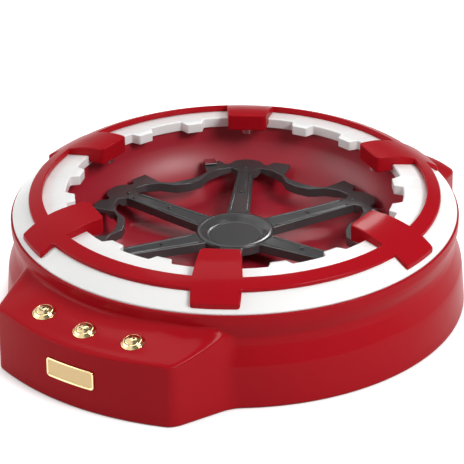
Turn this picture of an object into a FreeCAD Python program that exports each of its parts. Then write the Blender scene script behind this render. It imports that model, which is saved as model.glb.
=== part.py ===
import FreeCAD
import Part
import math
import os
import Sketcher

# Driving dimensions of the spin art machine, in millimetres and degrees.
# The frame's origin is on the spin axis at table level, +Z up, with the button pod towards -Y.
SIZES = {
    # Moulded housing: a drum with a pod in front and a like one behind
    "rim_radius": 160.2,
    "rim_inset": 1.4,
    "base_flare": 6.6,
    "base_taper": 2.0,
    "waist_depth": 2.8,
    "wall": 2.6,
    "foot_gap": 1.2,
    "shoulder_low": 27.5,
    "shoulder_rise": 8.5,
    "shoulder_step": 2.4,
    "shoulder_round": 14.0,
    "ledge_height": 66.4,
    "ledge_width": 3.8,
    "lip_step": 2.6,
    "lip_width": 4.4,
    "rim_band_fall": 4.9,
    "rim_band_round": 24.0,
    "waist_fall": 11.0,
    "pod_reach": 36.8,
    "pod_half_width": 75.6,
    "pod_flare": 27.4,
    "pod_root_inset": 50.8,
    "pod_front_height": 47.0,
    "pod_crest_rise": 13.0,
    "pod_slope": 11.3,
    "pod_round": 4.0,
    "joint_gap": 0.3,
    # Splash bowl
    "bowl_wall": 2.2,
    "bowl_clearance": 3.6,
    "bowl_curve_width": 42.6,
    "bowl_sweep": 44.4,
    "bowl_draft": 2.0,
    "bowl_mouth_gap": 3.0,
    "bowl_mouth_drop": 0.9,
    "bowl_mouth_band": 12.9,
    "bowl_flange_width": 13.6,
    "collar_bore": 5.8,
    "collar_radius": 8.0,
    "collar_rise": 3.6,
    # White rim ring with its scalloped inner lip
    "rim_wall": 2.4,
    "rim_edge_rise": 1.6,
    "rim_bend_width": 11.7,
    "rim_bend_rise": 9.2,
    "lamp_band_width": 10.1,
    "lamp_band_rise": 2.6,
    "rim_inner_width": 16.8,
    "rim_inner_rise": 2.6,
    "rim_lip_depth": 7.6,
    "tooth_depth": 6.6,
    "tooth_root": 17.0,
    "tooth_tip": 10.0,
    "tooth_offset": 9.6,
    "tooth_drop": 0.6,
    # Lamp ring with six hooded blocks
    "block_overhang": 14.0,
    "block_setback": 2.0,
    "block_rise": 7.8,
    "block_end_drop": 3.4,
    "block_crown": 81.0,
    "block_depth": 4.4,
    "block_inner_width": 28.4,
    "block_waist_width": 35.2,
    "block_tab_width": 34.4,
    "block_corner": 3.0,
    "lamp_inset": 6.8,
    "lamp_body": 5.2,
    "lamp_rise": 3.8,
    "lamp_length": 7.6,
    "diode_radius": 2.5,
    "rim_screw_inset": 9.4,
    # Spinner that carries the paper
    "spinner_clearance": 9.2,
    "lug_setback": 2.0,
    "notch_setback": 7.6,
    "neck_setback": 19.4,
    "trough_setback": 26.1,
    "spinner_band": 6.0,
    "spinner_rise": 2.9,
    "spinner_lug_thickness": 3.4,
    "spinner_thickness": 6.8,
    "hub_radius": 28.5,
    "hub_lift": 1.2,
    "hub_boss_height": 9.6,
    "hub_boss_radius": 7.0,
    "hub_dish_radius": 23.4,
    "hub_dish_depth": 3.2,
    "hub_floor_wall": 2.2,
    "spoke_root_width": 16.8,
    "spoke_tip_width": 12.0,
    "spoke_wall": 1.9,
    "spoke_plain": 32.0,
    "spoke_rib_stop": 5.0,
    "spoke_rib_width": 1.1,
    "spoke_rib_height": 0.7,
    "spoke_peg_setback": 2.1,
    "spoke_peg_radius": 1.3,
    "spoke_peg_height": 1.8,
    "tip_peg_radius": 1.2,
    "tip_peg_height": 1.4,
    "clip_width": 9.0,
    "clip_sheet": 0.8,
    "clip_reach": 9.0,
    "clip_lift": 1.0,
    # Drive train
    "spindle_radius": 2.5,
    "spindle_lift": 0.3,
    "spindle_cover": 2.0,
    "running_gap": 0.05,
    "gear_module": 1.0,
    "gear_teeth": 48,
    "pinion_teeth": 12,
    "gear_backlash": 0.3,
    "gear_thickness": 4.0,
    "gear_lift": 2.9,
    "bush_radius": 4.0,
    "bush_flange": 5.5,
    "bush_flange_sheet": 0.8,
    "pillar_height": 19.5,
    "pillar_radius": 4.0,
    "drive_plate_sheet": 1.5,
    "drive_plate_length": 80.0,
    "drive_plate_width": 48.0,
    "drive_plate_shift": 18.0,
    "motor_radius": 16.2,
    "motor_length": 18.0,
    "motor_boss": 3.2,
    "motor_cap": 2.4,
    "motor_shaft_radius": 1.0,
    "motor_screw": 1.3,
    # Base
    "base_plate_low": 1.6,
    "base_plate_thickness": 2.4,
    "plate_rib_inner": 64.0,
    "plate_rib_inset": 64.2,
    "plate_rib_wall": 1.6,
    "plate_rib_height": 5.0,
    "foot_radius": 9.0,
    "foot_across": 40.0,
    "foot_setback": 18.0,
    "screw_shank": 1.5,
    "screw_head": 3.0,
    "base_boss_radius": 4.0,
    # Button pod
    "button_place": 0.4915,
    "button_spacing": 38.0,
    "button_travel": 1.5,
    "button_radius": 5.3,
    "button_top": 5.6,
    "button_side": 3.3,
    "button_flange": 1.2,
    "button_gap": 0.4,
    "bezel_radius": 8.4,
    "bezel_height": 2.4,
    "bezel_neck": 7.0,
    "switch_size": 6.0,
    "switch_height": 3.1,
    "switch_knob": 0.8,
    "board_depth": 12.0,
    "board_thickness": 1.6,
    "board_margin": 24.0,
    "board_width": 15.2,
    "board_setback": 4.0,
    "board_post": 3.0,
    "board_screw": 1.2,
    # Blank plate on the pod's front
    "plate_length": 40.0,
    "plate_bottom": 18.4,
    "plate_height": 14.6,
    "plate_thickness": 1.0,
    "plate_rim": 1.5,
    "plate_rim_width": 1.6,
    "plate_corner": 2.6,
    # Battery bay in the rear pod
    "cell_radius": 13.1,
    "cell_body": 48.5,
    "cell_nipple": 1.5,
    "cell_nipple_radius": 3.2,
    "cell_gap": 0.6,
    "spring_room": 3.2,
    "contact_size": 16.0,
    "contact_sheet": 0.5,
    "bay_setback": 48.6,
    "bay_wall": 1.8,
    "bay_headroom": 0.5,
    "door_tab": 9.0,
    "door_tab_width": 16.0,
    "door_groove": 1.4,
    "door_groove_depth": 0.8,
    "door_groove_pitch": 4.0,
}

# Sizes that follow from those above, as formulas of the sheet.
FOLLOWING = {
    # Radii outwards from the rim
    "rim_band_radius": "rim_radius + rim_inset",
    "base_radius": "rim_radius + base_flare",
    "shoulder_radius": "base_radius - base_taper",
    "waist_radius": "rim_band_radius - waist_depth",
    "pod_radius": "rim_radius + pod_reach",
    "pod_root_half_width": "pod_half_width + pod_flare",
    "pod_root_depth": "base_radius - pod_root_inset",
    # Radii inwards from the rim
    "rim_bend_radius": "rim_radius - rim_bend_width",
    "rim_crown_radius": "rim_bend_radius - lamp_band_width",
    "rim_lip_radius": "rim_crown_radius - rim_inner_width",
    "rim_screw_radius": "rim_lip_radius + rim_screw_inset",
    "block_inner_radius": "rim_lip_radius - block_overhang",
    "block_outer_radius": "rim_radius - block_setback",
    "lamp_radius": "block_inner_radius + lamp_inset",
    "bowl_mouth_radius": "rim_lip_radius + bowl_mouth_gap",
    "bowl_knee_radius": "bowl_mouth_radius - bowl_draft",
    "bowl_floor_radius": "bowl_knee_radius - bowl_curve_width",
    "bowl_flange_radius": "bowl_mouth_radius + bowl_flange_width",
    "spinner_tip_radius": "rim_lip_radius - spinner_clearance",
    "spinner_lug_radius": "spinner_tip_radius - lug_setback",
    "spinner_notch_radius": "spinner_tip_radius - notch_setback",
    "spinner_neck_radius": "spinner_tip_radius - neck_setback",
    "spinner_trough_radius": "spinner_tip_radius - trough_setback",
    "spoke_rib_start": "hub_radius + spoke_plain",
    "spoke_rib_end": "spinner_neck_radius - spoke_rib_stop",
    "spoke_peg_circle": "spoke_rib_start - spoke_peg_setback",
    "plate_rib_outer": "rim_radius - plate_rib_inset",
    # Heights of the housing and of the rings on it
    "shoulder_high": "shoulder_low + shoulder_rise",
    "rim_band_low": "ledge_height - rim_band_fall",
    "waist_height": "rim_band_low - waist_fall",
    "lip_height": "ledge_height + lip_step",
    "pod_crest": "pod_front_height + pod_crest_rise",
    "rim_edge": "lip_height + rim_edge_rise",
    "rim_bend_height": "rim_edge + rim_bend_rise",
    "rim_crown_height": "rim_bend_height + lamp_band_rise",
    "rim_lip_top": "rim_crown_height + rim_inner_rise",
    "rim_lip_bottom": "rim_lip_top - rim_lip_depth",
    "block_top": "rim_lip_top + block_rise",
    "block_end": "rim_bend_height - block_end_drop",
    "block_bottom": "rim_lip_top - block_depth",
    "lamp_seat": "block_bottom + lamp_rise",
    "lamp_low": "lamp_seat - lamp_length",
    "bowl_mouth_height": "rim_bend_height - bowl_mouth_drop",
    "bowl_knee_height": "bowl_mouth_height - bowl_mouth_band",
    # Heights of the drive train and the spinner, from the base plate up
    "base_floor": "base_plate_low + base_plate_thickness",
    "spindle_low": "base_floor + spindle_lift",
    "drive_plate_low": "base_floor + pillar_height",
    "drive_plate_top": "drive_plate_low + drive_plate_sheet",
    "gear_low": "drive_plate_low + gear_lift",
    "bowl_floor": "gear_low + gear_thickness + bowl_clearance",
    "collar_height": "bowl_floor + collar_rise",
    "hub_boss_low": "collar_height + hub_lift",
    "hub_dish_floor": "hub_boss_low + hub_boss_height",
    "spindle_top": "hub_dish_floor - spindle_cover",
    "hub_top": "hub_dish_floor + hub_dish_depth",
    "spinner_top": "hub_top + spinner_rise",
    "gear_spacing": "(gear_teeth + pinion_teeth) * gear_module / 2",
    # Buttons, plate and battery bay
    "button_circle": "rim_band_radius + (pod_radius - rim_band_radius) * button_place",
    "button_bore": "button_radius + button_gap",
    "board_offset": "button_circle - board_setback",
    "board_length": "2 * button_spacing + board_margin",
    "plate_top": "plate_bottom + plate_height",
    "cell_pitch": "2 * cell_radius + cell_gap",
    "bay_width": "2 * cell_pitch",
    "bay_half_length": "cell_body + cell_nipple + spring_room",
    "bay_offset": "pod_radius - bay_setback",
}

SEGMENTS = 6
SEGMENT_ANGLE = 360 / SEGMENTS
NODES = {}

doc = FreeCAD.newDocument("spin_art_machine")
sheet = doc.addObject("Spreadsheet::Sheet", "Sizes")
cells = [(name, str(number)) for name, number in SIZES.items()]
cells += [(name, f"={formula}") for name, formula in FOLLOWING.items()]
for row, (name, content) in enumerate(cells, start=1):
    sheet.set(f"A{row}", name)
    sheet.set(f"B{row}", content)
    sheet.setAlias(f"B{row}", name)
doc.recompute()


class Size:
    """A length that carries both its value and the sheet formula that gives it."""

    def __init__(self, value, formula):
        self.value = float(value)
        self.formula = formula

    def __add__(self, other):
        other = as_size(other)
        return Size(self.value + other.value, f"({self.formula} + {other.formula})")

    def __sub__(self, other):
        other = as_size(other)
        return Size(self.value - other.value, f"({self.formula} - {other.formula})")

    def __mul__(self, other):
        other = as_size(other)
        return Size(self.value * other.value, f"({self.formula} * {other.formula})")

    def __truediv__(self, other):
        other = as_size(other)
        return Size(self.value / other.value, f"({self.formula} / {other.formula})")

    def __neg__(self):
        return Size(-self.value, f"(-{self.formula})")

    def __abs__(self):
        return self if self.value >= 0 else -self

    def __radd__(self, other):
        return as_size(other) + self

    def __rsub__(self, other):
        return as_size(other) - self

    def __rmul__(self, other):
        return as_size(other) * self


def as_size(number):
    if isinstance(number, Size):
        return number
    return Size(number, f"({number:.12g})")


def cosine(angle):
    angle = as_size(angle)
    return Size(math.cos(math.radians(angle.value)), f"cos({angle.formula})")


def sine(angle):
    angle = as_size(angle)
    return Size(math.sin(math.radians(angle.value)), f"sin({angle.formula})")


def tangent(angle):
    angle = as_size(angle)
    return Size(math.tan(math.radians(angle.value)), f"tan({angle.formula})")


def root(number):
    number = as_size(number)
    return Size(math.sqrt(number.value), f"sqrt({number.formula})")


class Dimensions:
    """Every cell of the sheet as an attribute."""

    def __init__(self):
        for name, content in cells:
            setattr(self, name, Size(sheet.get(name), f"Sizes.{name}"))


d = Dimensions()


def vector(x=0, y=0, z=0):
    return FreeCAD.Vector(as_size(x).value, as_size(y).value, as_size(z).value)


def bind(thing, path, size):
    thing.setExpression(path, as_size(size).formula)


def place(thing, x=0, y=0, z=0, turn=0, tilt=None):
    """Puts a piece at a point, turned about Z, or tilted about X to lie on the front pod's slope."""
    rotation = FreeCAD.Rotation(FreeCAD.Vector(0, 0, 1), turn)
    if tilt is not None:
        rotation = FreeCAD.Rotation(FreeCAD.Vector(1, 0, 0), tilt.value)
    thing.Placement = FreeCAD.Placement(vector(x, y, z), rotation)
    for axis, size in zip("xyz", (x, y, z)):
        if isinstance(size, Size):
            bind(thing, f"Placement.Base.{axis}", size)
    if tilt is not None:
        bind(thing, "Placement.Rotation.Angle", tilt)
    return thing


def node(thing, name):
    thing.Label = name
    NODES[name] = thing
    return thing


def new_body(name):
    body = doc.addObject("PartDesign::Body", name)
    body.Label = name
    return body


def polar(radius, angle, across=0):
    """A point at a radius along a direction, moved sideways by a distance across it."""
    x = radius * cosine(angle) - across * sine(angle)
    y = radius * sine(angle) + across * cosine(angle)
    return x, y


def arc_through(start, end, radius, side):
    """The circular arc from start to end whose centre lies to the left (1) or the right (-1)."""
    chord = end - start
    half = chord.Length / 2
    left = FreeCAD.Vector(-chord.y, chord.x, 0).normalize()
    centre = (start + end) / 2 + left * (side * math.sqrt(max(radius ** 2 - half ** 2, 0)))
    first, last = (start, end) if side > 0 else (end, start)
    turn = [math.atan2(point.y - centre.y, point.x - centre.x) for point in (first, last)]
    if turn[1] < turn[0]:
        turn[1] += 2 * math.pi
    circle = Part.Circle(centre, FreeCAD.Vector(0, 0, 1), radius)
    return Part.ArcOfCircle(circle, turn[0], turn[1])


def new_sketch(body, plane, lift=0):
    sketch = body.newObject("Sketcher::SketchObject", f"{body.Name}_sketch")
    support = next(item for item in body.Origin.OriginFeatures if item.Role == plane)
    sketch.AttachmentSupport = [(support, "")]
    sketch.MapMode = "FlatFace"
    if isinstance(lift, Size) or lift:
        sketch.AttachmentOffset = FreeCAD.Placement(vector(0, 0, lift), FreeCAD.Rotation())
        bind(sketch, "AttachmentOffset.Base.z", lift)
    return sketch


def pin_point(sketch, handle, point, pending):
    """Ties one sketch point to its two sheet formulas."""
    for kind, axis, size in (("DistanceX", -2, point[0]), ("DistanceY", -1, point[1])):
        size = as_size(size)
        if size.formula == "(0)":
            pending.append((Sketcher.Constraint("PointOnObject", handle[0], handle[1], axis), None))
        else:
            constraint = Sketcher.Constraint(kind, -1, 1, handle[0], handle[1], size.value)
            pending.append((constraint, size.formula))


def add_constraints(sketch, pending):
    first = sketch.ConstraintCount
    sketch.addConstraint([constraint for constraint, formula in pending])
    for index, (constraint, formula) in enumerate(pending, start=first):
        if formula:
            sketch.setExpression(f"Constraints[{index}]", formula)


def add_loop(sketch, points):
    """A closed loop. Each point is (x, y), or (x, y, radius, side) where an arc leads to it."""
    handles = []
    pending = []
    shapes = []
    base = sketch.GeometryCount
    for index, point in enumerate(points):
        before = points[index - 1]
        start = vector(before[0], before[1])
        end = vector(point[0], point[1])
        if len(point) == 4:
            radius = as_size(point[2])
            shapes.append(arc_through(start, end, radius.value, point[3]))
            handles.append((1, 2) if point[3] > 0 else (2, 1))
            pending.append((Sketcher.Constraint("Radius", base + index, radius.value), radius.formula))
        else:
            shapes.append(Part.LineSegment(start, end))
            handles.append((1, 2))
    sketch.addGeometry(shapes, False)
    for index, point in enumerate(points):
        after = (index + 1) % len(points)
        end_handle = (base + index, handles[index][1])
        start_handle = (base + after, handles[after][0])
        pending.append((Sketcher.Constraint("Coincident", *end_handle, *start_handle), None))
        pin_point(sketch, end_handle, point, pending)
    add_constraints(sketch, pending)


def add_circle(sketch, x, y, radius):
    radius = as_size(radius)
    index = sketch.GeometryCount
    circle = Part.Circle(vector(x, y), FreeCAD.Vector(0, 0, 1), radius.value)
    sketch.addGeometry(circle, False)
    pending = [(Sketcher.Constraint("Radius", index, radius.value), radius.formula)]
    pin_point(sketch, (index, 3), (x, y), pending)
    add_constraints(sketch, pending)


def outline(body, plane, points, lift=0):
    sketch = new_sketch(body, plane, lift)
    add_loop(sketch, points)
    return sketch


def turned(body, points, angle=360):
    """A profile of (radius, height) points turned about the body's own Z axis."""
    sketch = outline(body, "XZ_Plane", points)
    feature = body.newObject("PartDesign::Revolution", f"{body.Name}_turned")
    feature.Profile = sketch
    feature.ReferenceAxis = (sketch, ["V_Axis"])
    feature.Angle = 360
    if angle != 360:
        feature.Midplane = True
        bind(feature, "Angle", angle)
    sketch.Visibility = False
    return feature


def raised(body, sketch, height):
    feature = body.newObject("PartDesign::Pad", f"{body.Name}_pad")
    feature.Profile = sketch
    bind(feature, "Length", height)
    return feature


def pocketed(body, sketch, depth, both_ways=False, reverse=False):
    """Cuts a sketch into the body, and raises an error if it took nothing away."""
    doc.recompute()
    before = body.Shape.Volume
    feature = body.newObject("PartDesign::Pocket", f"{body.Name}_pocket")
    feature.Profile = sketch
    feature.Midplane = both_ways
    feature.Reversed = reverse
    bind(feature, "Length", depth)
    doc.recompute()
    if body.Shape.Volume > before - 0.01:
        raise RuntimeError(f"pocket in {body.Name} cuts nothing")
    return feature


def repeated(body, features, count=SEGMENTS):
    """The same features again in equal steps round the Z axis."""
    pattern = body.newObject("PartDesign::PolarPattern", f"{body.Name}_pattern")
    pattern.Originals = features
    axis = next(item for item in body.Origin.OriginFeatures if item.Role == "Z_Axis")
    pattern.Axis = (axis, [""])
    pattern.Angle = 360
    pattern.Occurrences = count
    body.Tip = pattern
    doc.recompute()
    return pattern


def turned_piece(name, points, angle=360):
    body = new_body(name)
    turned(body, points, angle)
    return body


def cylinder(name, radius, height, x=0, y=0, z=0):
    piece = doc.addObject("Part::Cylinder", name)
    bind(piece, "Radius", radius)
    bind(piece, "Height", height)
    return place(piece, x, y, z)


def block(name, length, width, height, x=0, y=0, z=0):
    """A box centred on x and y, standing on z."""
    piece = doc.addObject("Part::Box", name)
    bind(piece, "Length", length)
    bind(piece, "Width", width)
    bind(piece, "Height", height)
    return place(piece, x - as_size(length) / 2, y - as_size(width) / 2, z)


def joined(name, pieces):
    fuse = doc.addObject("Part::MultiFuse", name)
    fuse.Shapes = pieces
    fuse.Refine = True
    return fuse


def group(name, pieces):
    """Separate solids of one kind in one node."""
    compound = doc.addObject("Part::Compound", name)
    compound.Links = pieces
    return compound


def cut(name, base, tool):
    piece = doc.addObject("Part::Cut", name)
    piece.Base = base
    piece.Tool = tool
    piece.Refine = True
    return piece


def common(name, first, second):
    piece = doc.addObject("Part::Common", name)
    piece.Base = first
    piece.Tool = second
    piece.Refine = True
    return piece


def base_screw_spots():
    """Where the base plate is screwed up into the housing."""
    pod_x = d.pod_half_width - 4 * d.base_boss_radius
    pod_y = d.pod_radius - 6.2 * d.base_boss_radius
    side_x = d.shoulder_radius - d.wall - 0.6 * d.base_boss_radius
    corners = [(sx * pod_x, sy * pod_y) for sx in (-1, 1) for sy in (-1, 1)]
    return corners + [(-side_x, as_size(0)), (side_x, as_size(0))]


def pod_plan(inset):
    """Plan of both pods in one loop, its front and back corners on the pod's arc."""
    radius = d.pod_radius - inset
    corner_x = d.pod_half_width - 1.08 * inset
    corner_y = root(radius * radius - corner_x * corner_x)
    root_x = d.pod_root_half_width - 1.08 * inset
    return [
        (corner_x, -corner_y, radius, 1),
        (root_x, -d.pod_root_depth),
        (root_x, d.pod_root_depth),
        (corner_x, corner_y),
        (-corner_x, corner_y, radius, 1),
        (-root_x, d.pod_root_depth),
        (-root_x, -d.pod_root_depth),
        (-corner_x, -corner_y),
    ]


def pod_slope_cuts(body, drop, reach):
    """Cuts both pods' tops to planes that fall outwards."""
    rise = tangent(d.pod_slope)
    edge = d.pod_radius + reach
    low = d.pod_front_height - drop - reach * rise
    high = d.pod_crest + reach
    inner = d.pod_radius - (high - d.pod_front_height + drop) / rise
    for side in (-1, 1):
        sketch = outline(body, "YZ_Plane", [
            (side * inner, high),
            (side * edge, low),
            (side * edge, high),
        ])
        pocketed(body, sketch, 4 * d.pod_root_half_width, both_ways=True)


def drum_profile(inset, bottom, top):
    """The drum's outside, moved inwards by an inset, as a solid of revolution."""
    shoulder = d.shoulder_radius - inset
    return [
        (0, top),
        (0, bottom),
        (d.base_radius - inset, bottom),
        (shoulder, d.shoulder_low),
        (shoulder - d.shoulder_step, d.shoulder_high, d.shoulder_round, 1),
        (d.waist_radius - inset, d.waist_height),
        (d.rim_band_radius - inset, d.rim_band_low, d.rim_band_round, 1),
    ]


def round_pod_edges(body):
    """Rounds the pods' outer rims and upright corners."""
    doc.recompute()
    names = []
    last = body.Tip
    corner_reach = d.pod_root_depth.value + 5
    for index, edge in enumerate(body.Shape.Edges, start=1):
        middle = edge.valueAt((edge.FirstParameter + edge.LastParameter) / 2)
        low = edge.BoundBox.ZMin < d.foot_gap.value + 0.1
        flat = edge.BoundBox.ZLength < 0.1
        upright = edge.BoundBox.XLength < 0.01 and edge.BoundBox.YLength < 0.01
        if low and flat:
            continue
        if abs(middle.y) > corner_reach and (upright or middle.z < d.pod_crest.value - 0.1):
            names.append(f"Edge{index}")
    fillet = body.newObject("PartDesign::Fillet", f"{body.Name}_rounds")
    fillet.Base = (last, names)
    bind(fillet, "Radius", d.pod_round)
    return fillet


def housing():
    """The moulded shell: drum, front pod and rear pod, open above and below."""
    mass = new_body("housing_mass")
    raised(mass, outline(mass, "XY_Plane", pod_plan(as_size(0)), d.foot_gap), d.pod_crest - d.foot_gap)
    pod_slope_cuts(mass, as_size(0), as_size(4))
    round_pod_edges(mass)
    turned(mass, drum_profile(as_size(0), d.foot_gap, d.lip_height) + [(d.rim_band_radius, d.lip_height)])

    hollow = new_body("housing_hollow")
    raised(hollow, outline(hollow, "XY_Plane", pod_plan(d.wall)), d.pod_crest - d.wall)
    pod_slope_cuts(hollow, d.wall, as_size(4))
    above = d.lip_height + d.wall
    lip = d.rim_band_radius - d.lip_width
    ledge = lip - d.ledge_width
    turned(hollow, drum_profile(d.wall, as_size(0), above) + [
        (ledge, d.ledge_height - d.wall),
        (ledge, d.ledge_height),
        (lip, d.ledge_height),
        (lip, above),
    ])
    shell = cut("housing_shell", mass, hollow)

    floor = d.base_floor
    bosses = []
    holes = []
    for x, y in base_screw_spots():
        if y.value == 0:
            boss_top = d.shoulder_low
        else:
            boss_top = slope_height(abs(y) + d.base_boss_radius) - 0.25 * d.wall
        bosses.append(cylinder("housing_boss", d.base_boss_radius, boss_top - floor, x, y, floor))
        holes.append(cylinder("boss_hole", d.screw_shank, 14, x, y, floor - 1))
    for x, y, z in button_spots():
        hole = cylinder("button_hole", d.bezel_neck + d.running_gap, 3 * d.wall)
        holes.append(on_slope(hole, x, y, z, -1.5 * d.wall))
    posts = []
    for side in (-1, 1):
        x = side * d.button_spacing / 2
        post = cylinder("board_post", d.board_post, d.board_depth - d.wall / 2)
        posts.append(on_slope(post, x, -d.board_offset, slope_height(d.board_offset), -d.board_depth))
        pilot = cylinder("board_post_hole", d.board_screw, 2 * d.board_post)
        holes.append(on_slope(pilot, x, -d.board_offset, slope_height(d.board_offset), -d.board_depth))
    solid = joined("housing_with_bosses", [shell] + bosses + posts)
    return node(cut("outer_housing", solid, joined("housing_holes", holes)), "outer_housing")


def slope_height(distance):
    """Height of the front pod's top face at a distance in front of the axis."""
    return d.pod_front_height + (d.pod_radius - distance) * tangent(d.pod_slope)


def button_spots():
    """Where the three buttons stand on the slope, on one circle about the spin axis."""
    spots = []
    for step in (-1, 0, 1):
        x = step * d.button_spacing
        y = root(d.button_circle * d.button_circle - x * x)
        spots.append((x, -y, slope_height(y)))
    return spots


def on_slope(piece, x, y, z, lift=0):
    """Places a piece square to the front pod's slope, lifted along its normal."""
    lift = as_size(lift)
    return place(piece, x, y - lift * sine(d.pod_slope), z + lift * cosine(d.pod_slope), tilt=d.pod_slope)


def splash_bowl():
    """The bowl that catches the paint, with the collar round the spindle and its outer flange."""
    wall = d.bowl_wall
    floor = d.bowl_floor
    outer_sweep = d.bowl_sweep + wall
    flange_edge = d.rim_band_radius - d.lip_width - d.joint_gap
    knee_x = d.bowl_knee_radius + wall * 0.96
    knee_z = d.bowl_knee_height - wall * 0.28
    body = turned_piece("splash_bowl_turned", [
        (d.collar_bore, floor - wall),
        (d.bowl_floor_radius, floor - wall),
        (knee_x, knee_z, outer_sweep, 1),
        (d.bowl_mouth_radius + wall, d.bowl_mouth_height - wall),
        (d.bowl_flange_radius - 0.5 * wall, d.bowl_mouth_height - wall),
        (flange_edge - 3.2, d.ledge_height),
        (flange_edge, d.ledge_height),
        (flange_edge, d.ledge_height + wall),
        (d.bowl_flange_radius, d.bowl_mouth_height),
        (d.bowl_mouth_radius, d.bowl_mouth_height),
        (d.bowl_knee_radius, d.bowl_knee_height),
        (d.bowl_floor_radius, floor, d.bowl_sweep, -1),
        (d.collar_radius, floor),
        (d.collar_radius, d.collar_height),
        (d.collar_bore, d.collar_height),
    ])
    holes = []
    for index in range(SEGMENTS):
        x, y = polar(d.rim_screw_radius, index * SEGMENT_ANGLE)
        hole = cylinder("bowl_screw_hole", d.screw_shank + 0.1, 3 * wall, x, y, d.bowl_mouth_height - 2 * wall)
        holes.append(hole)
    return node(cut("splash_bowl", body, joined("bowl_holes", holes)), "splash_bowl")


def rim_top():
    """The white ring's top face from its outer edge to its inner lip."""
    return [
        (d.rim_radius, d.rim_edge),
        (d.rim_bend_radius, d.rim_bend_height),
        (d.rim_crown_radius, d.rim_crown_height),
        (d.rim_lip_radius + 1.0, d.rim_lip_top),
    ]


def rim_ring():
    """The white annular rim, with two inward teeth in each of its six bays."""
    wall = d.rim_wall
    body = new_body("rim_ring_turned")
    turned(body, [(d.rim_radius, d.lip_height)] + rim_top() + [
        (d.rim_lip_radius, d.rim_lip_top - 1.0),
        (d.rim_lip_radius, d.rim_lip_bottom),
        (d.rim_lip_radius + wall, d.rim_lip_bottom),
        (d.rim_lip_radius + wall, d.rim_lip_top - wall),
        (d.rim_crown_radius, d.rim_crown_height - wall),
        (d.rim_bend_radius - 0.4 * wall, d.rim_bend_height - wall),
        (d.rim_radius - 1.2 * wall, d.rim_edge - 0.25 * wall),
        (d.rim_radius - 1.2 * wall, d.lip_height),
    ])
    teeth = []
    inner = d.rim_lip_radius - d.tooth_depth
    shoulder = inner + 0.3 * d.tooth_depth
    seat = d.rim_lip_radius + 0.5 * wall
    for side in (-1, 1):
        middle = SEGMENT_ANGLE / 2 + side * d.tooth_offset
        sketch = outline(body, "XY_Plane", [
            polar(seat, middle, -0.5 * d.tooth_root),
            polar(shoulder, middle, -0.46 * d.tooth_root),
            polar(inner, middle, -0.5 * d.tooth_tip) + (0.5 * d.tooth_depth, -1),
            polar(inner, middle, 0.5 * d.tooth_tip),
            polar(shoulder, middle, 0.46 * d.tooth_root) + (0.5 * d.tooth_depth, -1),
            polar(seat, middle, 0.5 * d.tooth_root),
        ], d.rim_lip_bottom)
        teeth.append(raised(body, sketch, d.rim_lip_top - d.rim_lip_bottom - d.tooth_drop))
    repeated(body, teeth)
    bosses = []
    holes = []
    for index in range(SEGMENTS):
        x, y = polar(d.rim_screw_radius, index * SEGMENT_ANGLE)
        bosses.append(cylinder("rim_boss", 3.5, 4.2, x, y, d.bowl_mouth_height))
        holes.append(cylinder("rim_hole", d.screw_shank + 0.1, 10, x, y, d.bowl_mouth_height - 1))
    solid = joined("rim_ring_with_bosses", [body] + bosses)
    return node(cut("rim_ring", solid, joined("rim_holes", holes)), "rim_ring")


def lamp_ring():
    """The red ring and its six hooded blocks, one moulding that lies on the white ring."""
    end_floor = d.rim_edge + (d.rim_radius - d.block_outer_radius) * (
        d.rim_bend_height - d.rim_edge) / (d.rim_radius - d.rim_bend_radius)
    mass = turned_piece("lamp_ring_mass", [
        (d.block_inner_radius, d.block_bottom),
        (d.rim_lip_radius - 0.2, d.block_bottom),
        (d.rim_lip_radius - 0.2, d.rim_lip_top),
        (d.rim_lip_radius + 1.0, d.rim_lip_top),
        (d.rim_crown_radius, d.rim_crown_height),
        (d.rim_bend_radius, d.rim_bend_height),
        (d.block_outer_radius, end_floor),
        (d.block_outer_radius, d.block_end),
        (d.block_inner_radius, d.block_top, d.block_crown, 1),
    ])
    plan = new_body("lamp_ring_plan")
    low = d.rim_edge - 2
    height = d.block_top - low + 5
    band = new_sketch(plan, "XY_Plane", low)
    add_circle(band, 0, 0, d.rim_bend_radius - 0.2)
    add_circle(band, 0, 0, d.rim_crown_radius)
    raised(plan, band, height)
    corner = d.block_corner
    inner = 0.5 * d.block_inner_width
    waist = 0.5 * d.block_waist_width
    tab = 0.5 * d.block_tab_width
    lead = 0.08 * corner
    arm = raised(plan, outline(plan, "XY_Plane", [
        (d.block_inner_radius, -inner + corner),
        (d.block_inner_radius + corner, -inner - lead, corner, 1),
        (d.rim_crown_radius, -waist),
        (d.rim_bend_radius, -waist),
        (d.block_outer_radius - corner, -tab),
        (d.block_outer_radius, -tab + corner, corner, 1),
        (d.block_outer_radius, tab - corner),
        (d.block_outer_radius - corner, tab, corner, 1),
        (d.rim_bend_radius, waist),
        (d.rim_crown_radius, waist),
        (d.block_inner_radius + corner, inner + lead),
        (d.block_inner_radius, inner - corner, corner, 1),
    ], low), height)
    repeated(plan, [arm])
    solid = common("lamp_ring_solid", mass, plan)
    bores = []
    for index in range(SEGMENTS):
        x, y = polar(d.lamp_radius, index * SEGMENT_ANGLE)
        depth = d.lamp_seat - d.block_bottom
        bores.append(cylinder("lamp_bore", d.lamp_body + d.running_gap, depth + 2, x, y, d.block_bottom - 2))
        x, y = polar(d.rim_screw_radius, index * SEGMENT_ANGLE)
        bores.append(cylinder("block_hole", d.screw_shank, 8, x, y, d.rim_crown_height - 2))
    return node(cut("lamp_ring", solid, joined("lamp_bores", bores)), "lamp_ring")


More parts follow.
